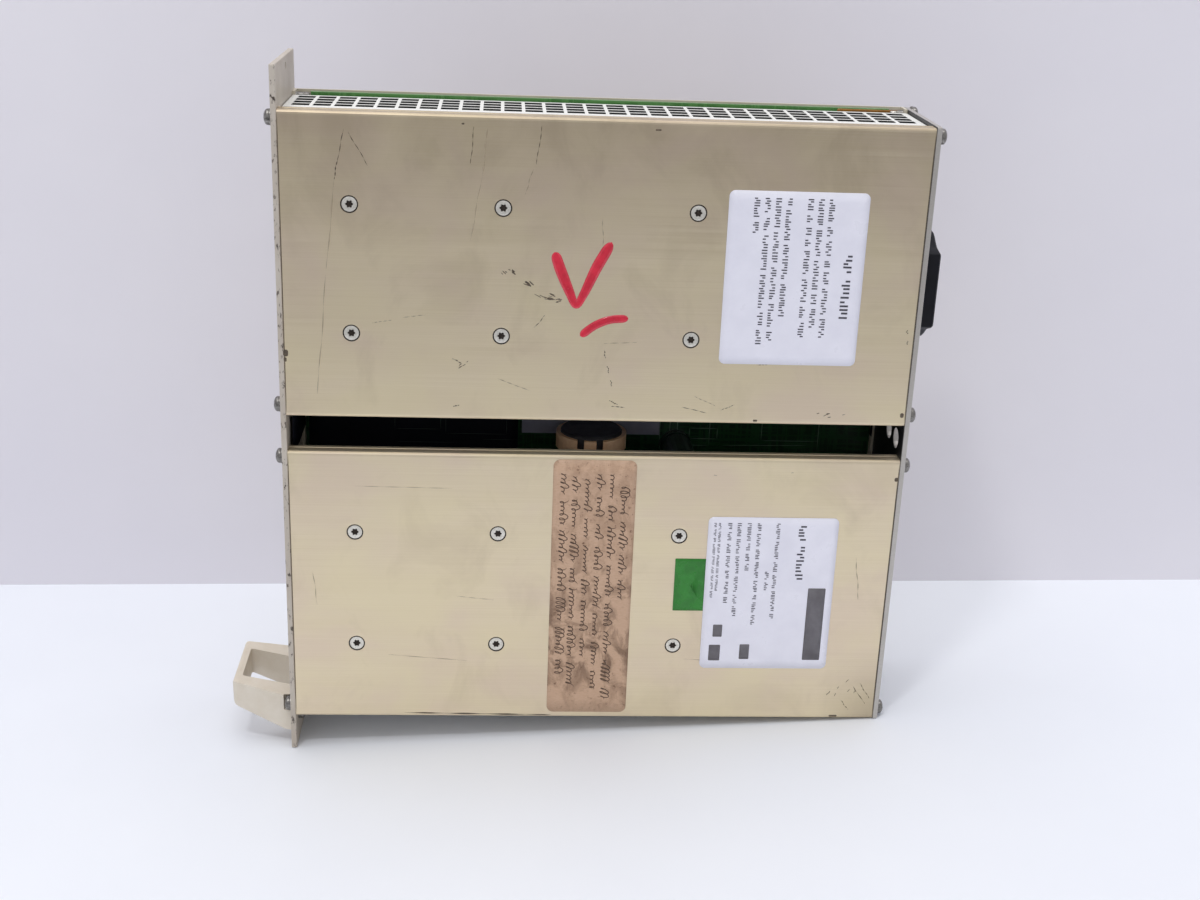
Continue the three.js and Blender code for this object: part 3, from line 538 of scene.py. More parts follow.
def bar_grid(centre, half, y):
    """A plain rectangle on the outer face."""
    sides = [centre[0] - half[0], centre[0] + half[0]]
    ends = [centre[1] - half[1], centre[1] + half[1]]
    x, z = np.meshgrid(sides, ends)
    return at(x, y, z)


def ribbon_grid(path, width, y, ends=6):
    """A stroke on the outer face: the path offset to both sides by half its local width.

    Its middle stands a little proud of its edges, and both ends are rounded."""
    path = np.asarray(path, float)
    tangent = np.gradient(path, axis=0)
    tangent /= np.linalg.norm(tangent, axis=1, keepdims=True)
    normal = np.stack([-tangent[:, 1], tangent[:, 0]], -1)
    width = np.broadcast_to(np.asarray(width, float), len(path)).copy()
    cap = np.sqrt(1 - (1 - np.arange(ends) / ends) ** 2)
    width[:ends] *= np.maximum(cap, 0.05)
    width[-ends:] *= np.maximum(cap[::-1], 0.05)
    across = np.linspace(-0.5, 0.5, 5)
    spread = path[:, None] + normal[:, None] * (width[:, None] * across[None])[..., None]
    crown = np.broadcast_to(1 - (2 * across) ** 2, spread.shape[:2])
    return at(spread[..., 0], y - 0.05 * crown, spread[..., 1])


def thicken(obj, depth_mm):
    """Gives a sheet its thickness, half to each side."""
    solid = obj.modifiers.new("thickness", "SOLIDIFY")
    solid.thickness = depth_mm * MM
    solid.offset = 0.0
    return obj


def softened(node, name, width_mm, segments=3, angle=32.0):
    """A copy of a CAD node with its corners rounded: triangles merged back to flat faces, then bevelled."""
    mesh = NODES[node].data.copy()
    mesh.name = name
    work = bmesh.new()
    work.from_mesh(mesh)
    bmesh.ops.remove_doubles(work, verts=work.verts, dist=2e-6)
    bmesh.ops.dissolve_limit(work, angle_limit=math.radians(1.5), verts=work.verts, edges=work.edges)
    bmesh.ops.recalc_face_normals(work, faces=work.faces)
    work.to_mesh(mesh)
    work.free()
    obj = bpy.data.objects.new(name, mesh)
    bpy.context.scene.collection.objects.link(obj)
    bevel = obj.modifiers.new("corners", "BEVEL")
    bevel.width = width_mm * MM
    bevel.segments = segments
    bevel.limit_method = "ANGLE"
    bevel.angle_limit = math.radians(angle)
    bevel.use_clamp_overlap = True
    mesh.shade_smooth()
    mesh.set_sharp_from_angle(angle=math.radians(30))
    return obj


def place(obj, finish, slot, body=CHASSIS, replaces=()):
    """A finished piece: its material, the body it rides on and the CAD nodes it stands for. The slot is not
    used.
    """
    obj.data.materials.clear()
    obj.data.materials.append(FINISH[finish])
    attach(obj, body)
    if replaces:
        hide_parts(*replaces)
    return obj


# ---------------------------------------------------------------- settings


class PSU_PG_studio(bpy.types.PropertyGroup):
    eye: FloatVectorProperty(
        name="Eye", description="Camera place in the maker's millimetres",
        default=(76.48, -541.27, 311.41), size=3)
    heading: FloatProperty(
        name="Heading", description="Turn of the view towards the rear",
        default=math.radians(3.99), unit="ROTATION")
    pitch: FloatProperty(
        name="Pitch", description="Tilt of the view below level",
        default=math.radians(-20.17), unit="ROTATION")
    roll: FloatProperty(
        name="Roll", description="Turn of the picture about the view",
        default=math.radians(2.30), unit="ROTATION")
    lens: FloatProperty(name="Lens", description="Focal length on a 36 mm sensor", default=47.02, min=10.0)
    wall_gap: FloatProperty(
        name="Wall gap", description="Backdrop's distance from the outer face of the profiles",
        default=0.140, unit="LENGTH")
    wall_turn: FloatProperty(
        name="Wall turn", description="Backdrop's turn about the vertical",
        default=math.radians(-5.6), unit="ROTATION")
    key: FloatProperty(
        name="Key light", description="Power of the overhead softbox in watts", default=14.0, min=0.0)
    lamp: FloatProperty(
        name="Lamp", description="Power of the small ceiling lamp in watts", default=4.0, min=0.0)
    sky: FloatProperty(
        name="Room light", description="Strength of the surrounding light", default=0.725, min=0.0)


class PSU_PG_fastenings(bpy.types.PropertyGroup):
    columns: IntProperty(name="Columns", description="Facets round each screw", default=36, min=12)
    socket: FloatProperty(
        name="Socket", description="Radius of the six-lobed socket in millimetres", default=1.2, min=0.5)


class PSU_PG_trim(bpy.types.PropertyGroup):
    label_corner: FloatProperty(
        name="Label corner", description="Corner radius of the labels in millimetres", default=2.2, min=0.1)
    stroke: FloatProperty(
        name="Marker stroke", description="Width of the paint-marker stroke in millimetres",
        default=3.3, min=0.2)
    seed: IntProperty(
        name="Wear seed", description="Seed of the rubs and of how the scratches wander", default=7)


# ---------------------------------------------------------------- operators


class PSU_OT_stage(bpy.types.Operator):
    """Camera, soft lights, pale floor and backdrop"""

    bl_idname = "psu.stage"
    bl_label = "Studio"

    def execute(self, context):
        look = context.scene.psu_studio
        self.camera(context, look)
        self.floor_and_wall(look)
        self.lights(context, look)
        context.scene.view_settings.view_transform = "Standard"
        context.scene.view_settings.look = "None"
        return {"FINISHED"}

    @staticmethod
    def camera(context, look):
        """Eye at a point, looking along heading and pitch, with the picture rolled about that line."""
        heading, pitch, roll = look.heading, look.pitch, look.roll
        ahead = math.cos(pitch)
        forward = Vector((math.sin(heading) * ahead, math.cos(heading) * ahead, math.sin(pitch)))
        level = Vector((math.cos(heading), -math.sin(heading), 0))
        above = level.cross(forward)
        right = level * math.cos(roll) + above * math.sin(roll)
        up = above * math.cos(roll) - level * math.sin(roll)
        data = bpy.data.cameras.new("camera")
        data.lens = look.lens
        data.sensor_width = 36.0
        data.clip_start = 0.01
        data.clip_end = 20.0
        camera = bpy.data.objects.new("camera", data)
        turn = Matrix((right, up, -forward)).transposed().to_4x4()
        camera.matrix_world = Matrix.Translation(Vector(at(*look.eye))) @ turn
        context.scene.collection.objects.link(camera)
        context.scene.camera = camera

    @staticmethod
    def floor_and_wall(look):
        """A floor tipped to the two edges the module stands on, a wall behind it, and a dark wool cloth.

        The cloth lies in front, unseen by the camera, and darkens what the metal's upper part reflects."""
        run = BODY_LENGTH / MM
        slope = OVERHANG / MM / run
        spread = np.linspace(-1600, 1600, 5)
        x, y = np.meshgrid(spread + 100, spread * 1.2, indexing="ij")
        floor_grid = at(x, y, (x - run) * slope - 0.02)
        floor = grids_object("floor", [floor_grid], outward=False)
        along = np.linspace(-1500, 1500, 4)
        rise = np.linspace(-120, 1500, 4)
        s, h = np.meshgrid(along, rise, indexing="ij")
        centre = look.wall_gap / MM
        x = 115 + s * math.cos(look.wall_turn)
        y = centre + s * math.sin(look.wall_turn)
        wall = grids_object("wall", [at(x, y, h)], outward=False)
        floor.data.materials.append(floor_finish())
        wall.data.materials.append(wall_finish())
        wall.visible_shadow = False
        mat_x, mat_y = np.meshgrid([-1500, 1700], [-1500, -400], indexing="ij")
        dark_mat = grids_object("dark_mat", [at(mat_x, mat_y, (mat_x - run) * slope + 1)], outward=False)
        dark_mat.data.materials.append(moulded("wool_cloth", "#4C4946", "#444240", 0.9, 2.0, 0.1, 30.0))
        dark_mat.visible_camera = False
        dark_mat.visible_diffuse = False
        dark_mat.visible_shadow = False

    @staticmethod
    def lights(context, look):
        """A broad softbox above, a small lamp high in front, and an even room."""
        for name, power, place_mm, size, aim in (
            ("key", look.key, (150, 70, 1900), 1.5, (110, 20, 0)),
            ("lamp", look.lamp, (-280, -620, 1500), 0.16, (110, 20, 0)),
        ):
            data = bpy.data.lights.new(name, "AREA")
            data.energy = power
            data.size = size
            lamp = bpy.data.objects.new(name, data)
            lamp.location = Vector(at(*place_mm))
            lamp.rotation_euler = (Vector(at(*aim)) - lamp.location).to_track_quat("-Z", "Y").to_euler()
            context.scene.collection.objects.link(lamp)
        world = bpy.data.worlds.new("room")
        world.use_nodes = True
        tree = world.node_tree
        tree.nodes.clear()
        sky = add(tree, "Background", None, {"Color": srgb("#EDEEF4"), "Strength": look.sky})
        add(tree, "OutputWorld", None, {"Surface": sky.outputs["Background"]})
        context.scene.world = world


def floor_finish():
    """Matt laminate table top: near white with a cool cast."""
    return moulded("table_top", "#EEF1F6", "#E9ECF2", 0.6, 3.0, 0.01, 260.0)


def wall_finish():
    """Painted board seen from the front, and clear from behind so that it never hides the module."""
    material = moulded("painted_board", "#EDEAEF", "#E6E3EA", 0.8, 4.0, 0.01, 300.0)
    tree = material.node_tree
    shader = next(n for n in tree.nodes if n.type == "BSDF_PRINCIPLED")
    output = next(n for n in tree.nodes if n.type == "OUTPUT_MATERIAL")
    clear = add(tree, "BsdfTransparent")
    behind = add(tree, "NewGeometry").outputs["Backfacing"]
    mixed = add(tree, "MixShader", None, {0: behind, 1: clear.outputs[0], 2: shader.outputs[0]})
    tree.links.new(mixed.outputs[0], output.inputs["Surface"])
    return material


class PSU_OT_cad_finishes(bpy.types.Operator):
    """Gives each CAD part the finish of its real material"""

    bl_idname = "psu.cad_finishes"
    bl_label = "CAD finishes"

    def execute(self, context):
        for name, obj in NODES.items():
            obj.data.materials.clear()
            obj.data.materials.append(FINISH[finish_for(name)])
        return {"FINISHED"}


# Pan heads: height over the panel with the captive washer, and how far the washer stands out beyond the head.
PAN_HEIGHT, WASHER_RIM = 2.92, 0.15


class PSU_OT_screws(bpy.types.Operator):
    """Domed and countersunk screws with six-lobed sockets, in place of the CAD's plain ones"""

    bl_idname = "psu.screws"
    bl_label = "Screws"

    def execute(self, context):
        kit = context.scene.psu_fastenings
        for node in NODES:
            if node.startswith(("front_screw", "rear_screw", "handle_screw")):
                self.pan_head(node, kit)
            elif "side_screw" in node:
                self.flat_head(node, kit)
        return {"FINISHED"}

    @staticmethod
    def middle(node):
        """A node's middle in maker's millimetres, and its half-sizes."""
        low, high = (np.array(corner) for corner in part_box(node))
        return ((low + high) / 2 - ZERO) / MM, (high - low) / 2 / MM

    def pan_head(self, node, kit):
        """Profile from the socket's floor, up its wall, over the dome, under the rim and down the shank."""
        centre, half = self.middle(node)
        radius, reach = half[1], half[0]
        outward = 1 if node.startswith(("rear", "handle")) else -1
        seat = reach - PAN_HEIGHT
        head = radius - WASHER_RIM
        dome = [(head * math.sin(a), seat + 1.5 + 1.36 * math.cos(a)) for a in np.linspace(0.5, 1.5, 7)]
        profile = [
            (0, seat + 1.3), (kit.socket * 0.8, seat + 1.3), (kit.socket * 0.94, seat + 1.42),
            (kit.socket, seat + 2.56), (kit.socket * 1.06, seat + 2.7), *dome,
            (head, seat + 0.9), (head - 0.06, seat + 0.72), (radius - 0.06, seat + 0.7),
            (radius, seat + 0.6), (radius, seat + 0.12), (radius - 0.08, seat + 0.02),
            (1.42, seat + 0.02), (1.4, seat - 0.1),
            (1.4, -reach + 0.4), (1.1, -reach + 0.02), (0, -reach + 0.02),
        ]
        profile = [(r, outward * h) for r, h in profile]
        grid = turned_grid(profile, centre, "x", kit.columns, lobes=5)
        piece = grids_object(node + "_turned", [grid], wrap_columns=True, sharp_degrees=42)
        # Darker zinc: painted shade on the panel screws.
        place(piece, "shaded_zinc", "zinc_steel", replaces=(node,))

    def flat_head(self, node, kit):
        """Profile from the socket's floor, across the flat top, down the cone and the shank."""
        centre, half = self.middle(node)
        top = centre[1] - half[1]
        radius = half[0]
        profile = [
            (0, 1.25), (kit.socket * 0.85, 1.25), (kit.socket * 0.97, 1.1), (kit.socket, 0.22),
            (kit.socket * 1.07, 0.06), (radius - 0.28, 0.0), (radius - 0.08, 0.06), (radius, 0.2),
            (radius - 0.03, 0.34), (1.52, 1.6), (1.5, 1.75), (1.5, 8.5), (1.2, 8.86), (0, 8.86),
        ]
        seat = (centre[0], top, centre[2])
        grid = turned_grid(profile, seat, "y", kit.columns, lobes=5)
        piece = grids_object(node + "_turned", [grid], wrap_columns=True, sharp_degrees=42)
        place(piece, "zinc", "zinc_steel", replaces=(node,))
        dirt = [(radius - 0.16, 0.1), (radius + 0.42, 0.02), (radius + 0.42, 0.3), (radius - 0.16, 0.4),
                (radius - 0.16, 0.1)]
        rim = grids_object(node + "_rim", [turned_grid(dirt, seat, "y", kit.columns)], wrap_columns=True)
        place(rim, "packed_dirt", "zinc_steel")
        star = [(0, 0.62), (kit.socket * 0.5, 0.6), (kit.socket * 0.88, 0.34), (kit.socket * 0.97, 0.16),
                (kit.socket * 0.97, 0.8), (0, 0.82)]
        star_grid = turned_grid(star, seat, "y", kit.columns, lobes=6)
        fill = grids_object(node + "_socket", [star_grid], wrap_columns=True)
        place(fill, "packed_dirt", "zinc_steel")


class PSU_OT_mouldings(bpy.types.Operator):
    """Handle, mains inlet, fuse drawer and output terminal with rounded moulded corners"""

    bl_idname = "psu.mouldings"
    bl_label = "Mouldings"

    def execute(self, context):
        for node, finish, slot, body, width in (
            ("handle", "handle_abs", "cream_plastic", CHASSIS, 0.45),
            ("inlet_body", "black_pa", "black_plastic", CHASSIS, 0.25),
            ("output_terminal", "black_pa", "black_plastic", CHASSIS, 0.25),
            ("fuse_drawer", "black_pa", "black_plastic", DRAWER, 0.15),
        ):
            piece = softened(node, node + "_moulded", width)
            place(piece, finish, slot, body, (node,))
        return {"FINISHED"}


# A label's printing: x of the line, where it starts and ends in z, its height, and how long its words run.
CAUTION_LINES = [
    (200.0, 187.0, 163.5, 3.0, 9), (192.6, 207.0, 157.0, 2.0, 5), (188.8, 207.0, 160.0, 2.0, 6),
    (185.0, 207.0, 156.0, 2.0, 4), (177.4, 207.0, 161.5, 2.0, 7), (173.6, 207.0, 155.0, 2.0, 5),
    (169.8, 207.0, 154.0, 2.0, 6), (166.0, 207.0, 194.0, 2.0, 4),
]
RATING_LINES = [
    (192.4, 82.5, 58.5, 2.9, 6), (183.0, 83.5, 44.0, 1.5, 5), (180.0, 63.5, 56.0, 1.5, 3),
    (175.8, 83.5, 41.0, 1.5, 5), (172.0, 83.5, 64.0, 1.5, 4), (168.2, 83.5, 45.0, 1.5, 5),
    (164.6, 83.5, 50.0, 1.5, 4), (160.8, 83.5, 55.0, 1.0, 4), (159.0, 83.5, 51.0, 1.0, 4),
]
# Plain printed blocks: middle x and z, half width and half height.
RATING_BLOCKS = [(199.9, 41.5, 3.4, 15.4), (173.5, 29.5, 1.9, 3.2), (161.8, 29.0, 2.2, 3.4),
                 (162.5, 38.5, 1.8, 2.6)]
# The tape's pen lines: x of the line, and where it starts and ends in z.
PEN_LINES = [(123.6, 98.0, 50.0), (119.0, 103.0, 7.0), (114.4, 103.0, 10.0), (109.8, 101.0, 24.0),
             (105.2, 102.0, 12.0), (100.8, 103.0, 18.0)]


class PSU_OT_labels(bpy.types.Operator):
    """Two white labels with rows of printed strokes, a blank green sticker and the kraft tape"""

    bl_idname = "psu.labels"
    bl_label = "Labels"

    def execute(self, context):
        trim = context.scene.psu_trim
        sheets = (
            ("caution_label", (181.0, 178.0), (25.0, 31.7), "label_vinyl", trim.label_corner, -0.12),
            ("rating_label", (181.2, 54.2), (24.9, 31.9), "label_vinyl", trim.label_corner, -0.16),
            ("test_sticker", (150.6, 57.8), (6.0, 10.9), "green_foil", 0.3, -0.07),
            ("kraft_tape", (112.8, 55.3), (15.5, 52.8), "kraft", 2.6, -0.10),
        )
        for name, centre, half, finish, corner, y in sheets:
            piece = grids_object(name, [sheet_grid(centre, half, corner, y, bulge=0.02)], wrap_columns=True,
                                 outward=False)
            place(thicken(piece, 0.08), finish, "cream_plastic")
        rng = np.random.default_rng(11)
        self.print_lines("caution_print", CAUTION_LINES, -0.2, rng)
        self.print_lines("rating_print", RATING_LINES, -0.24, rng)
        blocks = [sheet_grid((x, z), (a, b), 0.4, -0.24, rings=3, columns=32) for x, z, a, b in RATING_BLOCKS]
        place(thicken(grids_object("rating_blocks", blocks, wrap_columns=True, outward=False), 0.03),
              "grey_ink", "cream_plastic")
        self.pen_lines(rng)
        return {"FINISHED"}

    @staticmethod
    def print_lines(name, lines, y, rng):
        """Print read from afar: words made of upright strokes of uneven height, running down the label."""
        bars = []
        for x, start, stop, tall, word in lines:
            step = 0.46 * tall
            z = start
            while z > stop + 2 * step:
                for _ in range(int(rng.integers(3, 3 + 2 * word))):
                    height = tall * rng.choice([0.55, 0.75, 1.0])
                    shift = (tall - height) * rng.choice([-0.5, 0.5])
                    bars.append(bar_grid((x + shift, z), (height / 2, step * 0.24), y))
                    z -= step * rng.uniform(0.85, 1.25)
                    if z < stop:
                        break
                z -= 1.5 * step
        piece = grids_object(name, bars, outward=False)
        place(thicken(piece, 0.03), "ink", "cream_plastic")

    @staticmethod
    def pen_lines(rng):
        """Faded pen scribble on the tape with no letters in it: rows of slanted loops.

        x = line + a cos t and z = start - run t - b sin(t + phase), where a and b swell and shrink."""
        strokes = []
        for line, start, stop in PEN_LINES:
            z = start
            while z > stop + 6:
                loops = int(min(rng.integers(4, 9), (z - stop) / 1.9))
                t = np.linspace(0, 2 * math.pi * loops, 12 * loops)
                knots = rng.choice([0.35, 0.5, 0.7, 1.35], loops + 1)
                tall = np.interp(t, 2 * math.pi * np.arange(loops + 1), knots)
                across = line + 1.35 * tall * np.cos(t) + 0.5 * tall
                along = z - t * 0.27 - (0.25 + 0.5 * tall) * np.sin(t + rng.uniform(0.0, 0.9))
                strokes.append(ribbon_grid(np.stack([across, along], -1), 0.34, -0.16))
                z -= loops * 1.7 + rng.uniform(1.6, 2.6)
        place(thicken(grids_object("pen_strokes", strokes, outward=False), 0.02), "pen", "cream_plastic")


PAINT_Y = -0.06


class PSU_OT_marker(bpy.types.Operator):
    """A hand-drawn tick and a dash in red paint marker on the upper profile"""

    bl_idname = "psu.marker"
    bl_label = "Marker tick"

    def execute(self, context):
        stroke = context.scene.psu_trim.stroke
        path = smooth_path([(95.5, 186.0), (97.6, 180.0), (101.0, 172.0), (103.6, 167.0), (106.2, 171.0),
                            (110.6, 181.0), (115.5, 190.0)], 16)
        wide = stroke * (1 + 0.2 * np.sin(np.linspace(0, 9, len(path))))
        dash = smooth_path([(105.5, 155.5), (110.5, 159.5), (116.0, 161.8), (122.5, 162.4)], 16)
        strokes = [ribbon_grid(path, wide, PAINT_Y), ribbon_grid(dash, stroke * 0.9, PAINT_Y)]
        tick = thicken(grids_object("marker_tick", strokes, outward=False), 0.05)
        place(tick, "marker_paint", "cream_plastic")
        return {"FINISHED"}


# Where each kind of mark lies outside the profiles' face, and the stretches of x and z that rubs keep to.
SCRATCH_Y, SEAM_Y, CHIP_Y = -0.008, -0.006, -0.015
RUB_X, LOWER_RUB_Z, UPPER_RUB_Z = (0.4, 226.4), (1.6, 108.0), (124.8, 231.0)
GAP_Z = 115
# Single scratches, dark and faint: x and z of both ends, and width.
DARK_SCRATCHES = [
    (22.7, 227.0, 20.2, 216.0, 0.3), (20.4, 216.5, 19.0, 209.5, 0.45), (66.7, 229.0, 65.6, 216.0, 0.3),
    (89.9, 230.0, 88.3, 216.5, 0.3), (88.8, 158.2, 92.6, 163.0, 0.28), (59.8, 146.2, 63.2, 144.4, 0.4),
    (114.2, 150.6, 115.0, 147.4, 0.4), (115.6, 144.6, 116.4, 141.6, 0.4), (117.0, 139.2, 117.6, 136.8, 0.4),
    (116.8, 131.4, 120.0, 129.9, 0.5), (117.6, 129.2, 122.8, 128.8, 0.35), (60.2, 128.0, 62.4, 128.6, 0.5),
    (143.5, 129.4, 153.0, 127.2, 0.28), (158.0, 128.4, 163.0, 130.6, 0.28), (24.0, 226.0, 30.5, 214.5, 0.28),
    (42.0, 1.7, 99.0, 1.0, 0.7), (218.0, 14.5, 223.5, 6.5, 0.3), (220.6, 16.0, 225.0, 9.0, 0.3),
    (213.5, 8.4, 217.0, 4.0, 0.3), (224.0, 160.4, 224.4, 158.8, 0.5), (224.6, 156.4, 224.8, 154.8, 0.4),
]
FAINT_SCRATCHES = [
    (19.0, 209.5, 15.6, 178.0, 0.45), (15.4, 176.0, 11.5, 132.0, 0.4), (71.5, 229.0, 69.8, 212.0, 0.6),
    (69.8, 212.0, 65.8, 189.0, 0.4), (87.4, 215.0, 84.6, 206.0, 0.4), (31.3, 158.8, 38.4, 160.0, 0.3),
    (42.0, 161.0, 50.4, 162.2, 0.3), (76.0, 139.0, 88.0, 134.6, 0.35), (112.0, 199.0, 112.4, 186.0, 0.3),
    (114.0, 153.0, 126.0, 153.6, 0.35), (170.0, 146.0, 174.0, 146.2, 0.4), (148.0, 133.6, 156.0, 130.0, 0.3),
    (24.0, 96.4, 60.0, 96.0, 0.25), (150.0, 26.0, 176.0, 24.5, 0.25), (62.0, 52.0, 76.0, 50.6, 0.25),
    (214.0, 70.0, 216.4, 52.0, 0.4), (36.0, 27.0, 66.0, 24.6, 0.3), (8.0, 62.0, 9.4, 48.0, 0.3),
]
# Clusters of small rubs: middle x and z, spread, direction in degrees, how many, length and width.
DARK_RUBS = [
    (81.0, 178.4, 3.4, 0.7, -35, 9, 1.8, 0.38), (86.5, 174.0, 2.0, 0.8, -30, 5, 2.2, 0.4),
    (94.5, 169.6, 3.6, 0.9, -12, 14, 2.2, 0.32), (97.0, 168.4, 1.6, 0.8, 10, 6, 2.0, 0.3),
    (64.0, 144.0, 2.2, 1.0, 30, 5, 1.8, 0.25), (214.0, 12.0, 7.0, 4.0, 60, 8, 1.4, 0.28),
    (198.0, 127.0, 10.0, 0.9, 8, 6, 1.4, 0.28), (150.0, 104.0, 40.0, 1.6, 5, 6, 1.2, 0.25),
]
# Chipped paint along the rims: middle x and z, half width and half height.
CHIPS = [(0.6, 147.0, 0.9, 1.3), (0.4, 144.6, 0.5, 0.8), (226.2, 102.1, 0.7, 0.8), (225.6, 127.6, 0.7, 0.9),
         (171.0, 124.6, 0.8, 0.4), (130.0, 229.6, 1.0, 0.3), (63.0, 229.8, 0.5, 0.3), (211.0, 1.2, 1.6, 0.4)]


class PSU_OT_wear(bpy.types.Operator):
    """Scratches, rubs and chips that racking leaves on the two profiles"""

    bl_idname = "psu.wear"
    bl_label = "Wear"

    def execute(self, context):
        rng = np.random.default_rng(context.scene.psu_trim.seed)
        dark = [s for cluster in DARK_RUBS for s in self.cluster(cluster, rng)]
        dark += [self.scratch(row, rng) for row in DARK_SCRATCHES]
        faint = [self.scratch(row, rng) for row in FAINT_SCRATCHES]
        for name, strokes, finish in (("dark_rubs", dark, "scuff"), ("faint_rubs", faint, "faint_scuff")):
            marks = thicken(grids_object(name, strokes, outward=False), 0.01)
            place(marks, finish, "champagne_aluminium")
        seams = [ribbon_grid(np.stack([np.full(40, x), np.linspace(low, high, 40)], -1), 0.32, SEAM_Y)
                 for x in (0.2, 226.8) for low, high in ((0.8, 108.9), (123.9, 232.0))]
        place(thicken(grids_object("seam_dirt", seams, outward=False), 0.01), "scuff", "champagne_aluminium")
        chips = [sheet_grid((x, z), (a, b), min(a, b) * 0.9, CHIP_Y, 3, 14, 0.004) for x, z, a, b in CHIPS]
        place(thicken(grids_object("paint_chips", chips, wrap_columns=True, outward=False), 0.01),
              "scuff", "champagne_aluminium")
        return {"FINISHED"}

    @staticmethod
    def scratch(row, rng):
        """One nearly straight line from end to end, wandering a little and thinning where it skipped."""
        x0, z0, x1, z1, width = row
        share = np.linspace(0, 1, 24)
        wander = 0.25 * np.sin(share * rng.uniform(3, 9) + rng.uniform(0, 6)) * np.sin(math.pi * share)
        path = np.stack([x0 + (x1 - x0) * share + wander, z0 + (z1 - z0) * share], -1)
        skip = 0.55 + 0.45 * np.sin(share * rng.uniform(14, 30) + rng.uniform(0, 6))
        return ribbon_grid(path, width * skip, SCRATCH_Y)

    @staticmethod
    def cluster(row, rng):
        """Short bent strokes scattered about a middle, all near one direction, thin at both ends."""
        x, z, spread_x, spread_z, degrees, count, length, width = row
        strokes = []
        for _ in range(count):
            start = np.array([x + rng.normal(0, spread_x * 0.6), z + rng.normal(0, spread_z * 0.6)])
            angle = math.radians(degrees + rng.normal(0, 9))
            along = np.linspace(-0.5, 0.5, 16)[:, None] * length * rng.uniform(0.4, 1.3)
            bend = (np.linspace(-1, 1, 16)[:, None] ** 2) * rng.normal(0, 0.12) * length * 0.3
            direction = np.array([math.cos(angle), math.sin(angle)])
            side = np.array([-direction[1], direction[0]])
            path = start + along * direction + bend * side
            z_low, z_high = LOWER_RUB_Z if z < GAP_Z else UPPER_RUB_Z
            path[:, 1] = np.clip(path[:, 1], z_low, z_high)
            path[:, 0] = np.clip(path[:, 0], *RUB_X) + np.linspace(0, 0.01, 16)
            path[:, 1] += np.linspace(0, 0.01, 16)
            strokes.append(ribbon_grid(path, width * rng.uniform(0.5, 1.2), SCRATCH_Y))
        return strokes


# The board's near face, and the underside of the top grille's sheet.
BOARD_Y = 45.8
GRILLE_UNDER = (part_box("top_grille")[1].z - ZERO[2]) / MM - 0.5
# Outlines printed on the board: middle x and z, half width and half height.
SILK_BOXES = [
    (193.5, 108.0, 11.5, 7.6), (158.5, 103.0, 5.6, 2.2), (153.0, 110.0, 8.0, 12.0), (206.0, 128.0, 12.0, 9.0),
    (45.0, 108.0, 9.0, 5.0), (68.0, 104.5, 12.0, 3.2), (24.0, 128.0, 10.0, 8.0), (206.0, 78.0, 12.0, 12.0),
    (180.0, 206.0, 26.0, 14.0), (128.0, 206.0, 14.0, 16.0), (60.0, 60.0, 22.0, 26.0),
    (190.0, 226.0, 20.0, 2.6), (120.0, 226.0, 30.0, 2.4), (50.0, 226.0, 24.0, 2.4),
]
SILK_LINES = [
    ((141.0, 120.0), (141.0, 95.0)), ((166.0, 98.0), (201.0, 98.6)), ((148.0, 121.0), (148.0, 96.0)),
    ((205.0, 121.0), (205.0, 97.0)), ((70.0, 99.0), (84.0, 99.0)), ((36.0, 97.5), (60.0, 97.5)),
]


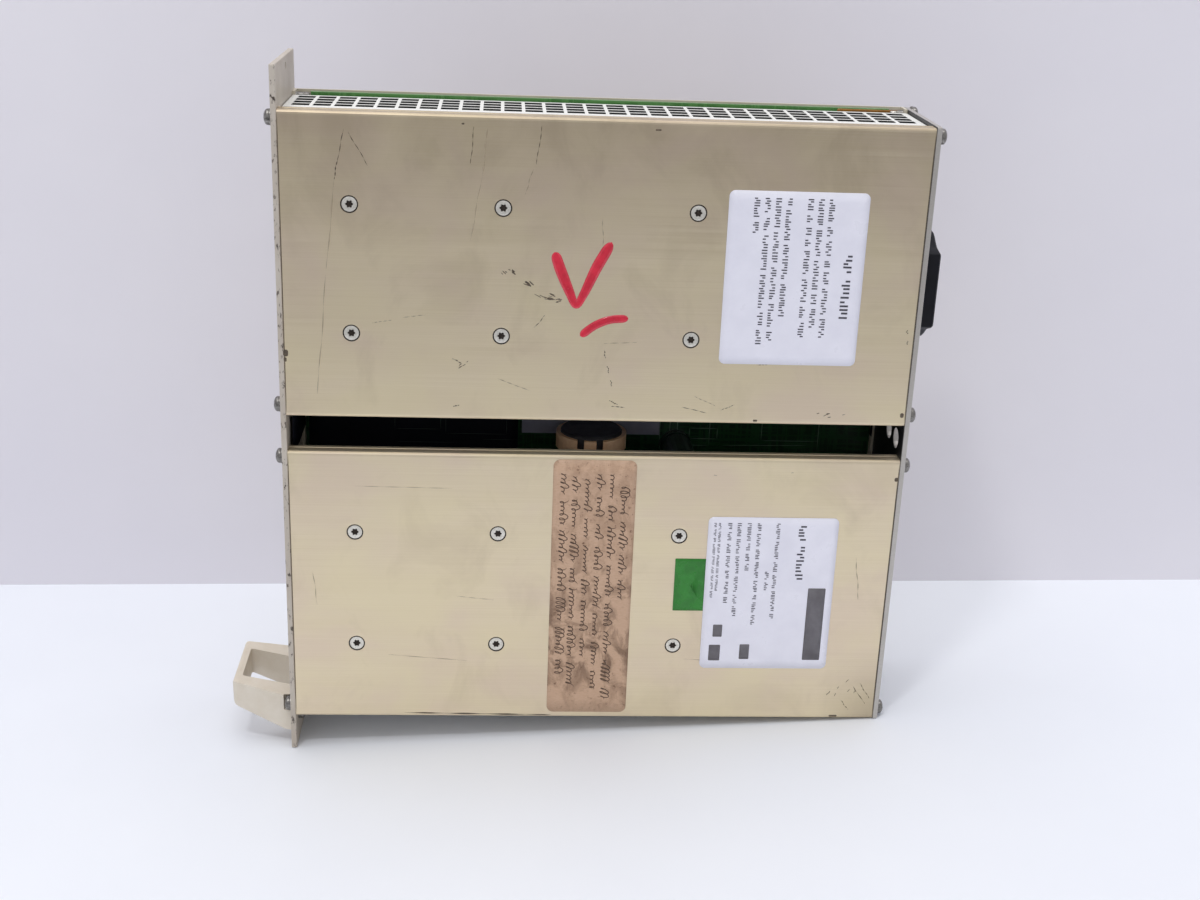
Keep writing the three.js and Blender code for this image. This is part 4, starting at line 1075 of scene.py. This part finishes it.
class PSU_OT_board_parts(bpy.types.Operator):
    """Printing, resistors, chips, film capacitors, tape and wires on the board"""

    bl_idname = "psu.board_parts"
    bl_label = "Board parts"

    def execute(self, context):
        self.printing()
        rng = np.random.default_rng(3)
        self.resistors(rng)
        self.chips()
        self.film_capacitors()
        self.patches()
        self.wires()
        return {"FINISHED"}

    @staticmethod
    def printing():
        """Thin white outlines: each rectangle is four strokes."""
        strokes = []
        ends = [[(x - a, z - b), (x + a, z - b), (x + a, z + b), (x - a, z + b)] for x, z, a, b in SILK_BOXES]
        pairs = [(c[i], c[(i + 1) % 4]) for c in ends for i in range(4)] + SILK_LINES
        for start, stop in pairs:
            path = np.linspace(start, stop, 14)
            strokes.append(ribbon_grid(path, 0.3, BOARD_Y - 0.03))
        printing = thicken(grids_object("board_printing", strokes, outward=False), 0.02)
        place(printing, "silkscreen", "board_laminate")

    @staticmethod
    def resistors(rng):
        """Axial resistors lying on the board: a waisted barrel between two leads that turn down to it."""
        bodies, leads = [], []
        spots = [(x, z) for x in (44, 56, 160, 172, 184, 196, 208) for z in (122, 132, 142)]
        spots += [(x, z) for x in (108, 122, 136, 150, 164, 178) for z in (184, 192, 214, 222)]
        spots += [(x, z) for x in (24, 36, 48, 150, 162, 206) for z in (18, 26, 34, 62, 70)]
        profile = [(0, -3.1), (0.9, -3.1), (1.25, -2.8), (1.3, -2.1), (1.05, -1.6), (1.02, 1.6), (1.3, 2.1),
                   (1.25, 2.8), (0.9, 3.1), (0, 3.1)]
        for x, z in spots:
            x, z = x + rng.uniform(-1.5, 1.5), z + rng.uniform(-1, 1)
            bodies.append(turned_grid(profile, (x, BOARD_Y - 1.6, z), "x", 14))
            route = [(x - 5.2, BOARD_Y + 0.2, z), (x - 5.2, BOARD_Y - 1.2, z), (x - 4.8, BOARD_Y - 1.6, z),
                     (x + 4.8, BOARD_Y - 1.6, z), (x + 5.2, BOARD_Y - 1.2, z), (x + 5.2, BOARD_Y + 0.2, z)]
            leads.append(tube_grid(route, 0.3, 6))
        place(grids_object("board_resistors", bodies, wrap_columns=True), "resistor_body", "bobbin_plastic")
        place(grids_object("board_leads", leads, wrap_columns=True), "zinc", "zinc_steel")

    @staticmethod
    def chips():
        """Dark moulded packages with rounded corners, and upright power devices against the spreaders.

        Four stand against the lower spreader and two against the upper one."""
        spots = [(176, 150, 9, 3.2), (200, 152, 5, 3.2), (150, 152, 5, 3.2), (30, 146, 10, 3.2),
                 (40, 84, 10, 3.2), (66, 84, 6, 3.2), (34, 58, 5, 3.2), (206, 206, 5, 3.2)]
        bodies = [pillow_grid((x, BOARD_Y - 2.3, z), (a, 1.9, b), 0.12) for x, z, a, b in spots]
        for x in (42, 58, 104, 122):
            for z in (54.8, 178.5):
                if z < 100 or x > 90:
                    bodies.append(pillow_grid((x, 9.2, z), (5.0, 2.4, 7.6), 0.14))
        place(grids_object("board_packages", bodies, wrap_columns=True), "chip_epoxy", "black_plastic")

    @staticmethod
    def film_capacitors():
        """Boxed film capacitors with soft edges."""
        spots = [(160, 172, 9, 5.5, 6), (196, 178, 6, 5, 9), (126, 166, 8, 6, 5), (30, 206, 9, 5, 5),
                 (84, 210, 9, 5, 4), (196, 128, 6, 4, 4)]
        bodies = [pillow_grid((x, BOARD_Y - h - 0.1, z), (a, h, b), 0.16) for x, z, a, h, b in spots]
        place(grids_object("film_capacitors", bodies, wrap_columns=True), "film_box", "bobbin_plastic")

    @staticmethod
    def patches():
        """A near-black sheet, a faded label and amber tape on the board, and three near-black sheets of
        painted shade.

        These three close both ends of the gap and lie under the top grille, where the inside is unlit."""
        sheets = {
            "board_dark_sheet": ("near_black_sheet", (43.5, 110.0), (41.0, 20.0), BOARD_Y - 0.06),
            "board_label": ("faded_label", (22.5, 122.0), (12.2, 4.6), BOARD_Y - 0.16),
            "amber_tape": ("polyimide", (212.5, 227.8), (11.5, 4.8), BOARD_Y - 0.07),
        }
        for name, (finish, centre, half, y) in sheets.items():
            piece = grids_object(name, [sheet_grid(centre, half, 0.5, y)], wrap_columns=True, outward=False)
            place(thicken(piece, 0.05), finish, "insulation_grey")
        # Painted shade: near-black sheets at both ends of the gap and under the top grille.
        shade_sheets = []
        for x in (1.12, 225.84):
            y, z = np.meshgrid([8.0 if x < 100 else 42.4, BOARD_Y - 0.2], [104.0, 129.0])
            shade_sheets.append(at(x, y, z))
        x, y = np.meshgrid([1.2, 225.8], [8.0, 41.9])
        shade_sheets.append(at(x, y, GRILLE_UNDER - 3.2))
        layers = thicken(grids_object("painted_shade_sheets", shade_sheets, outward=False), 0.05)
        place(layers, "near_black_sheet", "insulation_grey")

    @staticmethod
    def wires():
        """Three insulated wires from the inlet's tabs to the board, each on a smooth slack curve."""
        runs = {
            "wire_live": ("wire_brown", (27.2, 179.0), (186.0, 196.0)),
            "wire_earth": ("wire_green", (31.4, 171.9), (176.0, 160.0)),
            "wire_return": ("wire_blue", (27.2, 164.8), (190.0, 164.0)),
        }
        for name, (finish, (y, z), (end_x, end_z)) in runs.items():
            path = smooth_path([
                (199.5, y, z), (194.0, y, z), (188.0, y + 1, z + (end_z - z) * 0.2),
                (end_x + 1.0, 35.0, end_z - (end_z - z) * 0.25), (end_x, 41.0, end_z),
                (end_x, BOARD_Y - 0.05, end_z),
            ], 10)
            place(grids_object(name, [tube_grid(path, 1.1, 14)], wrap_columns=True), finish, "blue_plastic")


STEPS = (PSU_OT_stage, PSU_OT_cad_finishes, PSU_OT_screws, PSU_OT_mouldings, PSU_OT_labels, PSU_OT_marker,
         PSU_OT_wear, PSU_OT_board_parts)


class PSU_PT_panel(bpy.types.Panel):
    """The steps that dress the power supply, in order"""

    bl_idname = "PSU_PT_panel"
    bl_label = "Power Supply"
    bl_space_type = "VIEW_3D"
    bl_region_type = "UI"
    bl_category = "Power Supply"

    def draw(self, context):
        for step in STEPS:
            self.layout.operator(step.bl_idname)
        for settings in (context.scene.psu_studio, context.scene.psu_fastenings, context.scene.psu_trim):
            for key in settings.__annotations__:
                self.layout.prop(settings, key)


SETTINGS = {"psu_studio": PSU_PG_studio, "psu_fastenings": PSU_PG_fastenings, "psu_trim": PSU_PG_trim}


def register():
    for cls in (*SETTINGS.values(), *STEPS, PSU_PT_panel):
        bpy.utils.register_class(cls)
    for name, cls in SETTINGS.items():
        setattr(bpy.types.Scene, name, PointerProperty(type=cls))


def unregister():
    for name in SETTINGS:
        delattr(bpy.types.Scene, name)
    for cls in (PSU_PT_panel, *reversed(STEPS), *reversed(SETTINGS.values())):
        bpy.utils.unregister_class(cls)


def main():
    register()
    for step in STEPS:
        group, action = step.bl_idname.split(".")
        getattr(getattr(bpy.ops, group), action)()


if __name__ == "__main__":
    main()
